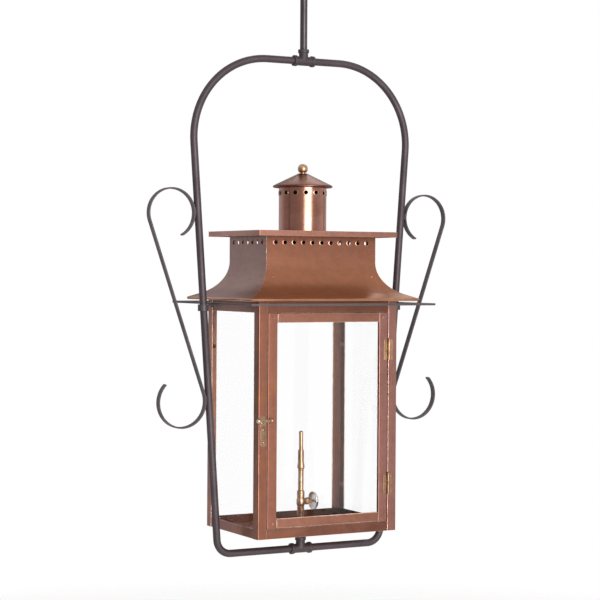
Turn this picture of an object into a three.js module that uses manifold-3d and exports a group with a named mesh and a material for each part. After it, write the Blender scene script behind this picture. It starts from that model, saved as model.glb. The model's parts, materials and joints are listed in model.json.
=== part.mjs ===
// A gas-burning hanging lantern: a glazed copper body with a flared, vented roof and chimney,
// carried in a tapered pipe yoke with scrolls, which hangs on a down rod from a ceiling flange.
// Millimetres, +Z up. X runs along the front (door) face and the yoke, and -Y is the front.
// The origin is the centre of the ceiling face; the lantern group's own zero is its underside.

import * as THREE from 'three';
import { mergeVertices } from 'three/addons/utils/BufferGeometryUtils.js';
import Module from 'manifold-3d';

const wasm = await Module();
wasm.setup();

// ---------------------------------------------------------------- driving dimensions

const seatGap = 0.1;            // between a piece and the one it rests on
const fitGap = 0.3;             // round a piece that passes through or sits inside another
const cornerGap = 0.3;          // mitred seam between two roof panels

const rodDrop = 187;            // from the ceiling face to the yoke's top run

// copper body
const bodyWidth = 291;
const bodyDepth = 210;
const bodyHeight = 445;
const postLeg = 18.5;
const bodySheet = 1.5;
const panRim = 18;
const headerHeight = 37;
const glassThickness = 2.5;
const glassLift = 4;            // bottom edge of the side panes above the pan's floor
const paneTopLap = 20;          // how far a side pane runs up behind its header

// door
const doorGap = 1;
const stileWidth = 19;
const doorRail = 17;
const doorThickness = 6;
const glassGroove = 5;

// hinges
const hingeHeight = 38;
const hingeInset = 69;          // hinge centre from the door's nearer end
const hingeLeaf = 9.5;
const leafThickness = 1.2;
const knuckleRadius = 2.6;
const hingePinRadius = 1.3;
const hingeHeadHeight = 1.9;
const hingeClearance = 0.15;

// latch
const latchHeight = 214;
const latchPlateWidth = 10;
const latchPlateDrop = 46;
const latchPlateRise = 8;
const latchHandle = 11;         // from the catch pin out to the ball
const latchArmWidth = 5;
const latchArmThickness = 2.5;
const latchEyeRadius = 5;
const latchBallRadius = 4.4;
const latchBallForward = 2;     // ball's centre in front of the arm's
const latchPlateGap = 0.5;      // between the plate and the hook
const catchPinRadius = 2;
const catchPinReach = 1.5;      // in front of the hook's arm
const latchPivotRadius = 2;
const latchHeadRadius = 4;
const latchHeadHeight = 3;

// roof
const roofSheet = 1.2;
const ventInset = 30;           // vent band stands this far in from the body's faces
const ventHeight = 55;
const flareRadius = 64;
const flareTurn = 68;           // degrees of arc before the flare runs straight
const flareReach = 60;          // from the vent band out to the eave
const beadRadius = 2.7;
const ventHoleRadius = 3.8;
const ventPitch = 19.25;
const ventMargin = 15;
const ventHoleDrop = 20;        // hole centres below the vent band's top
const capRim = 10;
const capOverhang = 30;

// chimney
const chimneyRadius = 44.8;
const chimneyHeight = 85;
const chimneySheet = 1.2;
const chimneyHoles = 14;
const chimneyHoleRadius = 4.05;
const chimneyHoleDrop = 12.5;
const chimneyHoleTurn = 5;      // degrees from the front to the first hole
const capEave = 9.7;            // how far the cap's cone stands out beyond the tube
const capRise = 23;
const capTopRadius = 8.7;
const capBead = 1.7;
const capBeadReach = 1.2;       // how far the bead stands out beyond the cone
const collarDepth = 6;
const finialRadius = 9.65;
const finialNeck = 4.2;

// gas pipe, yoke and scrolls
const pipeRadius = 6.85;
const pipeBore = 4.6;
const yokeHeadroom = 187.5;     // from the finial's top to the top run's centreline
const yokeDrop = 38;            // centreline of the bottom run below the underside
const yokeSideGap = 27.5;       // from the body's side out to the pipe at its foot
const yokeSpread = 65;          // how much further out the pipe is at its top
const yokeTopBend = 150;
const yokeBottomBend = 28;
const teeReach = 22;
const teeWall = 1.85;
const teeBand = 3.55;
const teeBandWidth = 7;
const socketDepth = 10;
const scrollBar = 3;
const scrollWidth = 12;
const upperCurlRise = 156;      // curl centres above and below the eave's bead
const upperCurlRadius = 46.5;
const upperCurlTip = -62;       // degrees round the curl's centre
const lowerCurlDrop = 188;
const lowerCurlRadius = 48;
const lowerCurlTip = 135;

// ladder-rest frame below the eave, clipped to the yoke
const restPipeGap = 6;          // between the frame's ends and the pipes
const restOverhang = 31;        // beyond the eave, in front and behind
const restBar = 12.7;
const restThickness = 4;
const restCorner = 4;
const restDrop = 3.5;           // below the eave's bead
const clipWidth = 16;
const clipThickness = 3;
const clipWall = 3;
const clipHeight = 12;

// ceiling fitting
const flangeRadius = 40;
const flangeThickness = 5;
const flangeHub = 14;
const flangeHubDepth = 18;
const flangeHoleRadius = 2.6;
const flangeHoleCircle = 29;
const canopyRadius = 62;
const canopyDepth = 27;
const canopySheet = 1.2;
const canopyCollarRadius = 12.5;
const canopyCollarHeight = 10;
const rodTopGap = 3;

// burner
const nippleTop = 41;
const floorNutRadius = 15;
const floorNutHeight = 6;
const valveHeight = 50;
const valveRadius = 8;
const valveTop = 57;
const packingRadius = 6.8;
const bossRadius = 5.8;
const packingStart = 9.6;
const packingEnd = 21;
const stemRadius = 2.2;
const stemHeadRadius = 3.6;
const stemHeadHeight = 2.9;
const wheelRadius = 17.5;
const wheelDish = 6;
const wheelSheet = 1.4;
const wheelHub = 3;
const wheelLip = 1;             // width of the rim's rolled edge
const wheelFlatEdge = 4;        // rim's width, from its edge in to the flat web
const wheelPlace = 25;
const burnerTube = 5.1;
const burnerTubeTop = 108;
const burnerCollarRadius = 7.1;
const burnerCollarTop = 70;
const burnerCollarTaper = 1.5;
const mixerHexRadius = 7;
const mixerHexTop = 124;
const mixerRadius = 5.5;
const mixerTop = 147;
const tipRadius = 3.8;
const tipBallRadius = 4.3;
const tipTop = 183;

const round = 20;               // sides of a turned piece
const fine = 12;                // sides of a small turned piece

// ---------------------------------------------------------------- sizes that follow

const halfWidth = bodyWidth / 2;
const halfDepth = bodyDepth / 2;
const panHalfWidth = halfWidth - bodySheet;
const panHalfDepth = halfDepth - bodySheet;
const ventHalfWidth = halfWidth - ventInset;
const ventHalfDepth = halfDepth - ventInset;
const capHalfWidth = ventHalfWidth + capOverhang;
const capHalfDepth = ventHalfDepth + capOverhang;
const postLegInner = halfWidth - postLeg;
const headerBottom = bodyHeight - headerHeight;
const doorBottom = panRim + doorGap;
const doorTop = headerBottom - doorGap;
const doorHalf = postLegInner - doorGap;
const doorFront = -halfDepth;
const hingeAxisX = postLegInner - doorGap / 2;
const hingeAxisY = doorFront - knuckleRadius - hingeClearance;

const flareAngle = THREE.MathUtils.degToRad(flareTurn);
const roofSlope = Math.PI / 2 - flareAngle;

// The roof's underside stands on the posts' outer edges, which fixes how high the flare starts.
const restAngle = Math.acos((flareRadius - ventInset) / (flareRadius + roofSheet));
const flareTop = bodyHeight + fitGap + (flareRadius + roofSheet) * Math.sin(restAngle);
const ventTop = flareTop + ventHeight;
const flareEndOut = flareRadius * (1 - Math.cos(flareAngle));
const flareEndHeight = flareTop - flareRadius * Math.sin(flareAngle);

// The bead is rolled under the roof's edge, so the sheet's upper face runs on to its top.
const beadOut = flareReach - beadRadius;
const beadDrop = (beadOut + beadRadius * Math.sin(roofSlope) - flareEndOut) * Math.tan(roofSlope);
const beadHeight = flareEndHeight - beadDrop - beadRadius * Math.cos(roofSlope);

const capTop = ventTop + seatGap + roofSheet;
const chimneyTop = capTop + seatGap + chimneyHeight;

const capRadius = chimneyRadius + capEave;
const finialFoot = chimneyTop + capBead + capRise + seatGap;
const finialCentre = finialFoot + Math.sqrt(finialRadius ** 2 - finialNeck ** 2);

const yokeTop = finialCentre + finialRadius + yokeHeadroom;
const yokeBottomHalf = halfWidth + yokeSideGap;
const yokeTopHalf = yokeBottomHalf + yokeSpread;
const yokeLean = Math.atan(yokeSpread / (yokeTop + yokeDrop));
const underside = -rodDrop - yokeTop;
const teeBodyRadius = pipeRadius + teeWall;
const teeBandRadius = pipeRadius + teeBand;
const upperCurlHeight = beadHeight + upperCurlRise;
const lowerCurlHeight = beadHeight - lowerCurlDrop;

const restTop = beadHeight - beadRadius - restDrop;
const restMid = restTop - restThickness / 2;
const restHalfWidth = yokeHalfAt(restMid) - pipeRadius - restPipeGap;
const restHalfDepth = ventHalfDepth + flareReach + restOverhang;

const latchPivotX = -(doorHalf - stileWidth / 3);
const catchX = -(halfWidth + postLegInner) / 2;
const latchArm = latchPivotX - catchX + latchHandle;
const hookBack = doorFront - seatGap - bodySheet - latchPlateGap;
const hookFront = hookBack - latchArmThickness;

// ---------------------------------------------------------------- materials

function metal(color, roughness, metalness) {
  return new THREE.MeshStandardMaterial({ color, roughness, metalness });
}

const agedCopper = () => metal(0x9a6549, 0.45, 0.9);
const darkBronze = () => metal(0x4d4443, 0.6, 0.7);
const agedBrass = () => metal(0x9a7a4a, 0.4, 0.9);
const brightBrass = () => metal(0xb0925a, 0.3, 0.95);
const steel = () => metal(0xa8a8a6, 0.35, 0.9);
const clearGlass = () => metal(0xdfe8e6, 0.05, 0.0);

// ---------------------------------------------------------------- solids

function toManifold(geometry) {
  const plain = geometry.clone();
  plain.deleteAttribute('normal');
  plain.deleteAttribute('uv');
  const merged = mergeVertices(plain, 1e-4);
  const vertProperties = new Float32Array(merged.attributes.position.array);
  const triVerts = new Uint32Array(merged.index.array);
  return new wasm.Manifold(new wasm.Mesh({ numProp: 3, vertProperties, triVerts }));
}

function toGeometry(manifold) {
  const mesh = manifold.getMesh();
  const geometry = new THREE.BufferGeometry();
  geometry.setAttribute('position', new THREE.BufferAttribute(mesh.vertProperties, 3));
  geometry.setIndex(new THREE.BufferAttribute(mesh.triVerts, 1));
  geometry.computeVertexNormals();
  return geometry;
}

function join(...geometries) {
  return toGeometry(geometries.map(toManifold).reduce((whole, piece) => whole.add(piece)));
}

function cut(geometry, ...tools) {
  return toGeometry(tools.map(toManifold).reduce((rest, tool) => rest.subtract(tool), toManifold(geometry)));
}

function block(low, high) {
  const size = high.map((value, i) => value - low[i]);
  const middle = high.map((value, i) => (value + low[i]) / 2);
  return new THREE.BoxGeometry(...size).translate(...middle);
}

function cylinder(axis, radius, start, end, sides = round) {
  const geometry = new THREE.CylinderGeometry(radius, radius, end - start, sides);
  geometry.translate(0, (start + end) / 2, 0);
  if (axis === 'x') geometry.rotateZ(-Math.PI / 2);
  if (axis === 'z') geometry.rotateX(Math.PI / 2);
  return geometry;
}

// A closed profile of [radius, height] points turned about Z.
function turned(profile, sides = round) {
  const points = profile.map(([radius, height]) => new THREE.Vector2(radius, height));
  const lathe = new THREE.LatheGeometry([...points, points[0].clone()], sides);
  return toGeometry(toManifold(lathe.rotateX(Math.PI / 2)));
}

// A profile that starts and ends on the axis, turned about Z.
function turnedSolid(profile, sides = round) {
  const points = profile.map(([radius, height]) => new THREE.Vector2(radius, height));
  return toGeometry(toManifold(new THREE.LatheGeometry(points, sides).rotateX(Math.PI / 2)));
}

function tube(radius, bore, start, end, sides = round) {
  return turned([[bore, start], [radius, start], [radius, end], [bore, end]], sides);
}

function outline(points) {
  return new THREE.Shape(points.map(([x, y]) => new THREE.Vector2(x, y)));
}

// An outline in plan, raised from one height to another.
function raised(shape, start, end, curveSegments = 6) {
  const options = { depth: end - start, bevelEnabled: false, curveSegments };
  return new THREE.ExtrudeGeometry(shape, options).translate(0, 0, start);
}

// An outline seen from the front, from one depth to another along Y.
function facing(shape, start, end, curveSegments = 6) {
  const options = { depth: end - start, bevelEnabled: false, curveSegments };
  return new THREE.ExtrudeGeometry(shape, options).rotateX(Math.PI / 2).translate(0, end, 0);
}

function circle(radius, x = 0, y = 0) {
  return new THREE.Path().absarc(x, y, radius, 0, 2 * Math.PI, false);
}

function place(parent, name, geometry, material) {
  const mesh = new THREE.Mesh(geometry, material);
  mesh.name = name;
  parent.add(mesh);
  return mesh;
}

// ---------------------------------------------------------------- body

function cornerPost(sideX, sideY) {
  const x = sideX * halfWidth;
  const y = sideY * halfDepth;
  const inX = x - sideX * postLeg;
  const inY = y - sideY * postLeg;
  const shellX = x - sideX * bodySheet;
  const shellY = y - sideY * bodySheet;
  const points = [[x, y], [inX, y], [inX, shellY], [shellX, shellY], [shellX, inY], [x, inY]];
  if (sideX * sideY > 0) points.reverse();
  return raised(outline(points.reverse()), 0, bodyHeight);
}

function addPosts(parent) {
  for (const [front, sideY] of [['front', -1], ['back', 1]]) {
    for (const [side, sideX] of [['left', -1], ['right', 1]]) {
      place(parent, `corner_post_${front}_${side}`, cornerPost(sideX, sideY), agedCopper());
    }
  }
}

// A shallow tray that stands inside the posts, with a hole for the gas nipple.
function basePan() {
  const inset = seatGap;
  const w = panHalfWidth - inset;
  const d = panHalfDepth - inset;
  const pan = block([-w, -d, 0], [w, d, panRim]);
  const hollow = block(
    [-w + bodySheet, -d + bodySheet, bodySheet],
    [w - bodySheet, d - bodySheet, panRim + 1],
  );
  return cut(pan, hollow, cylinder('z', pipeRadius + fitGap, -1, bodySheet + 1));
}

// Headers stand behind the posts' legs; the front and back ones run between the side ones.
function addHeaders(parent) {
  const w = panHalfWidth - seatGap;
  const d = panHalfDepth - seatGap;
  const between = w - bodySheet - seatGap;
  for (const [name, side] of [['left', -1], ['right', 1]]) {
    const x = [side * w, side * (w - bodySheet)].sort((a, b) => a - b);
    place(parent, `header_${name}`, block([x[0], -d, headerBottom], [x[1], d, bodyHeight]), agedCopper());
  }
  for (const [name, side] of [['front', -1], ['back', 1]]) {
    const y = [side * d, side * (d - bodySheet)].sort((a, b) => a - b);
    const low = [-between, y[0], headerBottom];
    place(parent, `header_${name}`, block(low, [between, y[1], bodyHeight]), agedCopper());
  }
}

// Side panes stand against the pan's rims and headers; the back pane fits between them.
function addGlass(parent) {
  const outerX = panHalfWidth - seatGap - bodySheet - fitGap;
  const outerY = panHalfDepth - seatGap - bodySheet - fitGap;
  const innerX = outerX - glassThickness;
  const bottom = bodySheet + glassLift;
  const top = headerBottom + paneTopLap;
  for (const [name, side] of [['left', -1], ['right', 1]]) {
    const x = [side * outerX, side * innerX].sort((a, b) => a - b);
    place(parent, `glass_${name}`, block([x[0], -outerY, bottom], [x[1], outerY, top]), clearGlass());
  }
  const low = [-innerX + fitGap, outerY - glassThickness, bottom];
  place(parent, 'glass_back', block(low, [innerX - fitGap, outerY, top]), clearGlass());
}

// ---------------------------------------------------------------- door

const doorBack = doorFront + doorThickness;
const grooveFront = doorFront + (doorThickness - glassThickness) / 2 - fitGap;
const grooveBack = grooveFront + glassThickness + 2 * fitGap;

// A bar's section with the glass groove in its inner edge: u runs inwards, v runs back.
function grooved(width) {
  return [
    [0, doorFront], [width, doorFront], [width, grooveFront], [width - glassGroove, grooveFront],
    [width - glassGroove, grooveBack], [width, grooveBack], [width, doorBack], [0, doorBack],
  ];
}

function doorStile(side) {
  const points = grooved(stileWidth).map(([u, v]) => [side * (doorHalf - u), v]);
  return raised(outline(side < 0 ? points : points.reverse()), doorBottom, doorTop);
}

// A rail's section is drawn with its outer edge at zero and swept between the stiles.
function doorRailBar(edge, inwards) {
  const length = 2 * (doorHalf - stileWidth - seatGap);
  const geometry = raised(outline(grooved(doorRail)), -length / 2, length / 2);
  geometry.rotateY(-Math.PI / 2);
  if (inwards < 0) geometry.rotateY(Math.PI);
  return geometry.translate(0, 0, edge);
}

function addDoor(parent) {
  place(parent, 'door_stile_left', doorStile(-1), agedCopper());
  place(parent, 'door_stile_right', doorStile(1), agedCopper());
  place(parent, 'door_rail_bottom', doorRailBar(doorBottom, 1), agedCopper());
  place(parent, 'door_rail_top', doorRailBar(doorTop, -1), agedCopper());
  const lap = glassGroove - 2 * fitGap;
  const paneX = doorHalf - stileWidth + lap;
  const low = [-paneX, grooveFront + fitGap, doorBottom + doorRail - lap];
  const high = [paneX, grooveBack - fitGap, doorTop - doorRail + lap];
  place(parent, 'door_glass', block(low, high), clearGlass());
}

// ---------------------------------------------------------------- hinges

const knuckles = 3;
const knuckleLength = hingeHeight / knuckles;

// One leaf of a butt hinge, drawn about its own pin, with its knuckles at the given places.
function hingeLeafSolid(side, places) {
  const leafBack = doorFront - hingeAxisY - seatGap;
  const reach = knuckleRadius + 2 * hingeClearance;
  const low = -hingeHeight / 2;
  const x = [side * reach, side * hingeLeaf].sort((a, b) => a - b);
  const pieces = [block([x[0], leafBack - leafThickness, low], [x[1], leafBack, -low])];
  for (const i of places) {
    const start = low + i * knuckleLength + (i > 0 ? hingeClearance : 0);
    const end = low + (i + 1) * knuckleLength - (i < knuckles - 1 ? hingeClearance : 0);
    const tab = [0, side * (reach + 1)].sort((a, b) => a - b);
    pieces.push(block([tab[0], leafBack - leafThickness, start], [tab[1], leafBack, end]));
    pieces.push(cylinder('z', knuckleRadius, start, end, fine));
  }
  return cut(join(...pieces), cylinder('z', hingePinRadius + hingeClearance, low - 1, 1 - low, fine));
}

function hingePin() {
  const half = hingeHeight / 2;
  const foot = half + seatGap;
  const head = turnedSolid([
    [0, foot], [knuckleRadius, foot], [hingePinRadius, foot + hingeHeadHeight], [0, foot + hingeHeadHeight],
  ], fine);
  return join(cylinder('z', hingePinRadius, -half, foot + hingeHeadHeight / 2, fine), head);
}

function addHinges(parent) {
  const places = [['upper', doorTop - hingeInset], ['lower', doorBottom + hingeInset]];
  for (const [name, height] of places) {
    const hinge = new THREE.Group();
    hinge.position.set(hingeAxisX, hingeAxisY, height);
    parent.add(hinge);
    place(hinge, `hinge_${name}_post_leaf`, hingeLeafSolid(1, [0, 2]), agedBrass());
    place(hinge, `hinge_${name}_door_leaf`, hingeLeafSolid(-1, [1]), agedBrass());
    place(hinge, `hinge_${name}_pin`, hingePin(), agedBrass());
  }
}

// ---------------------------------------------------------------- latch

// A plate riveted to the post, with the pin that the hook drops over.
function latchKeeper() {
  const half = latchPlateWidth / 2;
  const back = doorFront - seatGap;
  const plate = block(
    [catchX - half, back - bodySheet, latchHeight - latchPlateDrop],
    [catchX + half, back, latchHeight + latchPlateRise],
  );
  const pin = cylinder('y', catchPinRadius, hookFront - catchPinReach, back - bodySheet / 2, fine);
  return join(plate, pin.translate(catchX, 0, catchHeight()));
}

// The pin's centre lies on the arm's lower edge.
function catchHeight() {
  return latchHeight - latchArmWidth / 2;
}

function latchHook() {
  const half = latchArmWidth / 2;
  const arm = block([-latchArm, hookFront, -half], [0, hookBack, half]);
  const eye = cylinder('y', latchEyeRadius, hookFront, hookBack);
  const ball = new THREE.SphereGeometry(latchBallRadius, fine, 8);
  ball.translate(-latchArm, (hookFront + hookBack) / 2 - latchBallForward, 0);
  const notch = cylinder('y', catchPinRadius + fitGap, hookFront - 1, hookBack + 1, fine);
  notch.translate(catchX - latchPivotX, 0, -half);
  const bore = cylinder('y', latchPivotRadius + fitGap, hookFront - 1, hookBack + 1, fine);
  return cut(join(arm, eye, ball), notch, bore);
}

function latchPivot() {
  const shank = cylinder('y', latchPivotRadius, hookFront - 1, doorFront - seatGap, fine);
  const dome = turnedSolid([
    [0, 0], [latchHeadRadius, 0], [latchHeadRadius * 0.8, latchHeadHeight * 0.6],
    [latchHeadRadius * 0.4, latchHeadHeight * 0.9], [0, latchHeadHeight],
  ], fine);
  return join(shank, dome.rotateX(Math.PI / 2).translate(0, hookFront - fitGap, 0));
}

function addLatch(parent) {
  place(parent, 'latch_keeper', latchKeeper(), agedBrass());
  const pivot = new THREE.Group();
  pivot.position.set(latchPivotX, 0, latchHeight);
  parent.add(pivot);
  place(pivot, 'latch_hook', latchHook(), agedBrass());
  place(pivot, 'latch_pivot_screw', latchPivot(), agedCopper());
}

// ---------------------------------------------------------------- roof

// Section of a roof panel: u runs out from the vent band's face, v is the height.
function roofSection() {
  const under = flareRadius + roofSheet;
  const beadEnd = flareAngle + Math.acos(1 - roofSheet / beadRadius);
  const section = new THREE.Shape();
  section.moveTo(0, ventTop);
  section.absarc(flareRadius, flareTop, flareRadius, Math.PI, Math.PI + flareAngle, false);
  section.absarc(beadOut, beadHeight, beadRadius, flareAngle, beadEnd, true);
  section.absarc(flareRadius, flareTop, under, Math.PI + flareAngle, Math.PI, true);
  section.lineTo(-roofSheet, ventTop);
  return section;
}

// A roof panel whose ends follow the mitre: each point lies as far along as it lies out.
function roofPanel(halfLength, halfOut) {
  const geometry = new THREE.ExtrudeGeometry(roofSection(), {
    depth: 1, bevelEnabled: false, curveSegments: 8,
  });
  const position = geometry.attributes.position;
  for (let i = 0; i < position.count; i += 1) {
    const out = position.getX(i);
    const end = position.getZ(i) > 0.5 ? -1 : 1;
    const along = end * (halfLength + out - cornerGap);
    position.setXYZ(i, along, -(halfOut + out), position.getY(i));
  }
  const count = Math.floor((2 * halfLength - 2 * ventMargin) / ventPitch) + 1;
  const holes = [];
  for (let i = 0; i < count; i += 1) {
    const hole = cylinder('y', ventHoleRadius, -halfOut - 3, -halfOut + 4, 10);
    holes.push(hole.translate((i - (count - 1) / 2) * ventPitch, 0, ventTop - ventHoleDrop));
  }
  return cut(geometry, ...holes);
}

function addRoof(parent) {
  const panels = [
    ['front', 0, ventHalfWidth, ventHalfDepth], ['right', 1, ventHalfDepth, ventHalfWidth],
    ['back', 2, ventHalfWidth, ventHalfDepth], ['left', 3, ventHalfDepth, ventHalfWidth],
  ];
  for (const [name, quarter, along, out] of panels) {
    const panel = roofPanel(along, out).rotateZ(quarter * Math.PI / 2);
    place(parent, `roof_${name}`, panel, agedCopper());
  }
  place(parent, 'roof_cap_plate', capPlate(), agedCopper());
}

// A shallow lid over the vent band, open below and under the chimney.
function capPlate() {
  const lid = block([-capHalfWidth, -capHalfDepth, capTop - capRim], [capHalfWidth, capHalfDepth, capTop]);
  const hollow = block(
    [-capHalfWidth + roofSheet, -capHalfDepth + roofSheet, capTop - capRim - 1],
    [capHalfWidth - roofSheet, capHalfDepth - roofSheet, capTop - roofSheet],
  );
  return cut(lid, hollow, cylinder('z', chimneyRadius - chimneySheet, capTop - capRim - 1, capTop + 1, 28));
}

// ---------------------------------------------------------------- chimney

function chimneyTube() {
  const sides = 2 * chimneyHoles;
  const wall = tube(chimneyRadius, chimneyRadius - chimneySheet, capTop + seatGap, chimneyTop, sides);
  const holes = [];
  for (let i = 0; i < chimneyHoles; i += 1) {
    const angle = THREE.MathUtils.degToRad(chimneyHoleTurn) + i * 2 * Math.PI / chimneyHoles;
    const hole = cylinder('y', chimneyHoleRadius, -chimneyRadius - 2, -chimneyRadius + 4, 8);
    holes.push(hole.translate(0, 0, chimneyTop - chimneyHoleDrop).rotateZ(angle));
  }
  return cut(wall, ...holes);
}

// A cone with a beaded rim, and a collar under it that sits inside the tube's mouth.
function chimneyCap() {
  const rise = capRise / (capRadius - capTopRadius);
  const base = chimneyTop + capBead;
  const under = (radius) => base + (capRadius - radius) * rise - chimneySheet;
  const collarOuter = chimneyRadius - chimneySheet - fitGap;
  const collarInner = collarOuter - chimneySheet;
  const collarFoot = chimneyTop - collarDepth;
  return turnedSolid([
    [0, base + capRise], [capTopRadius, base + capRise], [capRadius, base],
    [capRadius + capBeadReach, base - capBead * 0.3], [capRadius + capBeadReach, base - capBead * 1.3],
    [capRadius, base - capBead * 1.8], [capRadius - capBead, base - capBead],
    [collarOuter, under(collarOuter)], [collarOuter, collarFoot], [collarInner, collarFoot],
    [collarInner, under(collarInner)], [capTopRadius, under(capTopRadius)], [0, under(capTopRadius)],
  ].reverse(), 28);
}

// A ball on a small flat foot.
function finial() {
  const start = Math.asin(finialNeck / finialRadius);
  const steps = 8;
  const points = [[0, finialFoot]];
  for (let i = 0; i < steps; i += 1) {
    const angle = start + (i / steps) * (Math.PI - start);
    points.push([finialRadius * Math.sin(angle), finialCentre - finialRadius * Math.cos(angle)]);
  }
  points.push([0, finialCentre + finialRadius]);
  return turnedSolid(points, 16);
}

// ---------------------------------------------------------------- pipe yoke

// A pipe's centreline as a list of places and directions, one for each ring of its surface.
class PipeRun extends THREE.Curve {
  constructor() {
    super();
    this.points = [];
    this.tangents = [];
  }

  add(point, tangent) {
    this.points.push(point.clone());
    this.tangents.push(tangent.clone().normalize());
  }

  blend(list, t) {
    const place = t * (list.length - 1);
    const i = Math.min(Math.floor(place), list.length - 2);
    return list[i].clone().lerp(list[i + 1], place - i);
  }

  getPoint(t) {
    return this.blend(this.points, t);
  }

  getPointAt(t) {
    return this.getPoint(t);
  }

  getTangentAt(t) {
    return this.blend(this.tangents, t).normalize();
  }
}

// Straight stretches between the given corners, each inner corner rounded to its radius.
function bentRun(corners, radii, steps) {
  const run = new PipeRun();
  const last = corners.length - 1;
  run.add(corners[0], corners[1].clone().sub(corners[0]));
  for (let i = 1; i < last; i += 1) {
    const before = corners[i].clone().sub(corners[i - 1]).normalize();
    const after = corners[i + 1].clone().sub(corners[i]).normalize();
    const turn = before.angleTo(after);
    const start = corners[i].clone().addScaledVector(before, -radii[i - 1] * Math.tan(turn / 2));
    const inward = after.clone().addScaledVector(before, -after.dot(before)).normalize();
    const centre = start.clone().addScaledVector(inward, radii[i - 1]);
    for (let k = 0; k <= steps[i - 1]; k += 1) {
      const angle = turn * k / steps[i - 1];
      const tangent = before.clone().multiplyScalar(Math.cos(angle))
        .addScaledVector(inward, Math.sin(angle));
      const point = centre.clone().addScaledVector(inward, -radii[i - 1] * Math.cos(angle))
        .addScaledVector(before, radii[i - 1] * Math.sin(angle));
      run.add(point, tangent);
    }
  }
  run.add(corners[last], corners[last].clone().sub(corners[last - 1]));
  return run;
}

const pipeStart = teeReach - socketDepth;

function yokeTube(side) {
  const corners = [
    new THREE.Vector3(side * pipeStart, 0, yokeTop),
    new THREE.Vector3(side * yokeTopHalf, 0, yokeTop),
    new THREE.Vector3(side * yokeBottomHalf, 0, -yokeDrop),
    new THREE.Vector3(side * pipeStart, 0, -yokeDrop),
  ];
  const run = bentRun(corners, [yokeTopBend, yokeBottomBend], [10, 6]);
  const wall = new THREE.Shape().absarc(0, 0, pipeRadius, 0, 2 * Math.PI, false);
  wall.holes.push(circle(pipeBore));
  const sweep = { steps: run.points.length - 1, extrudePath: run, curveSegments: fine / 2 };
  return new THREE.ExtrudeGeometry(wall, sweep);
}

// A banded tee: the run lies along X and the branch points up.
function tee() {
  const body = join(
    cylinder('x', teeBodyRadius, -teeReach, teeReach, 16),
    cylinder('z', teeBodyRadius, 0, teeReach, 16),
    cylinder('x', teeBandRadius, -teeReach, -teeReach + teeBandWidth, 16),
    cylinder('x', teeBandRadius, teeReach - teeBandWidth, teeReach, 16),
    cylinder('z', teeBandRadius, teeReach - teeBandWidth, teeReach, 16),
  );
  const socket = pipeRadius + fitGap;
  const mouth = teeReach - socketDepth - fitGap;
  return cut(
    body,
    cylinder('x', pipeBore, -teeReach - 1, teeReach + 1, fine),
    cylinder('z', pipeBore, 0, teeReach + 1, fine),
    cylinder('x', socket, -teeReach - 1, -mouth, 16),
    cylinder('x', socket, mouth, teeReach + 1, 16),
    cylinder('z', socket, mouth, teeReach + 1, 16),
  );
}

// How far out the pipe's centreline is at a height above the underside.
function yokeHalfAt(height) {
  return yokeBottomHalf + (height + yokeDrop) * Math.tan(yokeLean);
}

function addYoke(parent) {
  place(parent, 'yoke_tube_left', yokeTube(-1), darkBronze());
  place(parent, 'yoke_tube_right', yokeTube(1), darkBronze());
  place(parent, 'upper_tee', tee(), darkBronze()).position.z = yokeTop;
  place(parent, 'lower_tee', tee(), darkBronze()).position.z = -yokeDrop;
  place(parent, 'scroll_left', scroll(-1), darkBronze());
  place(parent, 'scroll_right', scroll(1), darkBronze());
}

// ---------------------------------------------------------------- scrolls

// How far out a curl's centre lies so that the curl's outside meets the pipe.
function curlCentre(height, radius) {
  return yokeHalfAt(height) + (pipeRadius + seatGap + radius) / Math.cos(yokeLean);
}

// An S of flat bar: a curl over the top, a straight stretch across it, and a curl under the end.
function scroll(side) {
  const upper = new THREE.Vector2(curlCentre(upperCurlHeight, upperCurlRadius), upperCurlHeight);
  const lower = new THREE.Vector2(curlCentre(lowerCurlHeight, lowerCurlRadius), lowerCurlHeight);
  const upperMid = upperCurlRadius - scrollBar / 2;
  const lowerMid = lowerCurlRadius - scrollBar / 2;
  const across = lower.clone().sub(upper);
  const leave = Math.atan2(across.y, across.x) + Math.acos((upperMid + lowerMid) / across.length());
  const upperTip = Math.PI - THREE.MathUtils.degToRad(upperCurlTip);
  const lowerTip = Math.PI - THREE.MathUtils.degToRad(lowerCurlTip);
  const half = scrollBar / 2;
  const shape = new THREE.Shape();
  shape.absarc(upper.x, upper.y, upperMid + half, upperTip, leave, true);
  shape.absarc(lower.x, lower.y, lowerMid - half, leave + Math.PI, lowerTip + 2 * Math.PI, false);
  shape.absarc(lower.x, lower.y, lowerMid + half, lowerTip + 2 * Math.PI, leave + Math.PI, true);
  shape.absarc(upper.x, upper.y, upperMid - half, leave, upperTip, false);
  const bar = facing(shape, -scrollWidth / 2, scrollWidth / 2, 22);
  return side > 0 ? bar : bar.rotateZ(Math.PI);
}

// ---------------------------------------------------------------- ladder rest

function roundedRectangle(halfX, halfY, radius) {
  const path = new THREE.Shape();
  path.absarc(halfX - radius, halfY - radius, radius, 0, Math.PI / 2, false);
  path.absarc(-halfX + radius, halfY - radius, radius, Math.PI / 2, Math.PI, false);
  path.absarc(-halfX + radius, -halfY + radius, radius, Math.PI, 1.5 * Math.PI, false);
  path.absarc(halfX - radius, -halfY + radius, radius, 1.5 * Math.PI, 2 * Math.PI, false);
  return path;
}

function restFrame() {
  const foot = restTop - restThickness;
  const frame = raised(roundedRectangle(restHalfWidth, restHalfDepth, restCorner), foot, restTop);
  const insideX = restHalfWidth - restBar;
  const insideY = restHalfDepth - restBar;
  return cut(frame, block([-insideX, -insideY, foot - 1], [insideX, insideY, restTop + 1]));
}

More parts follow.
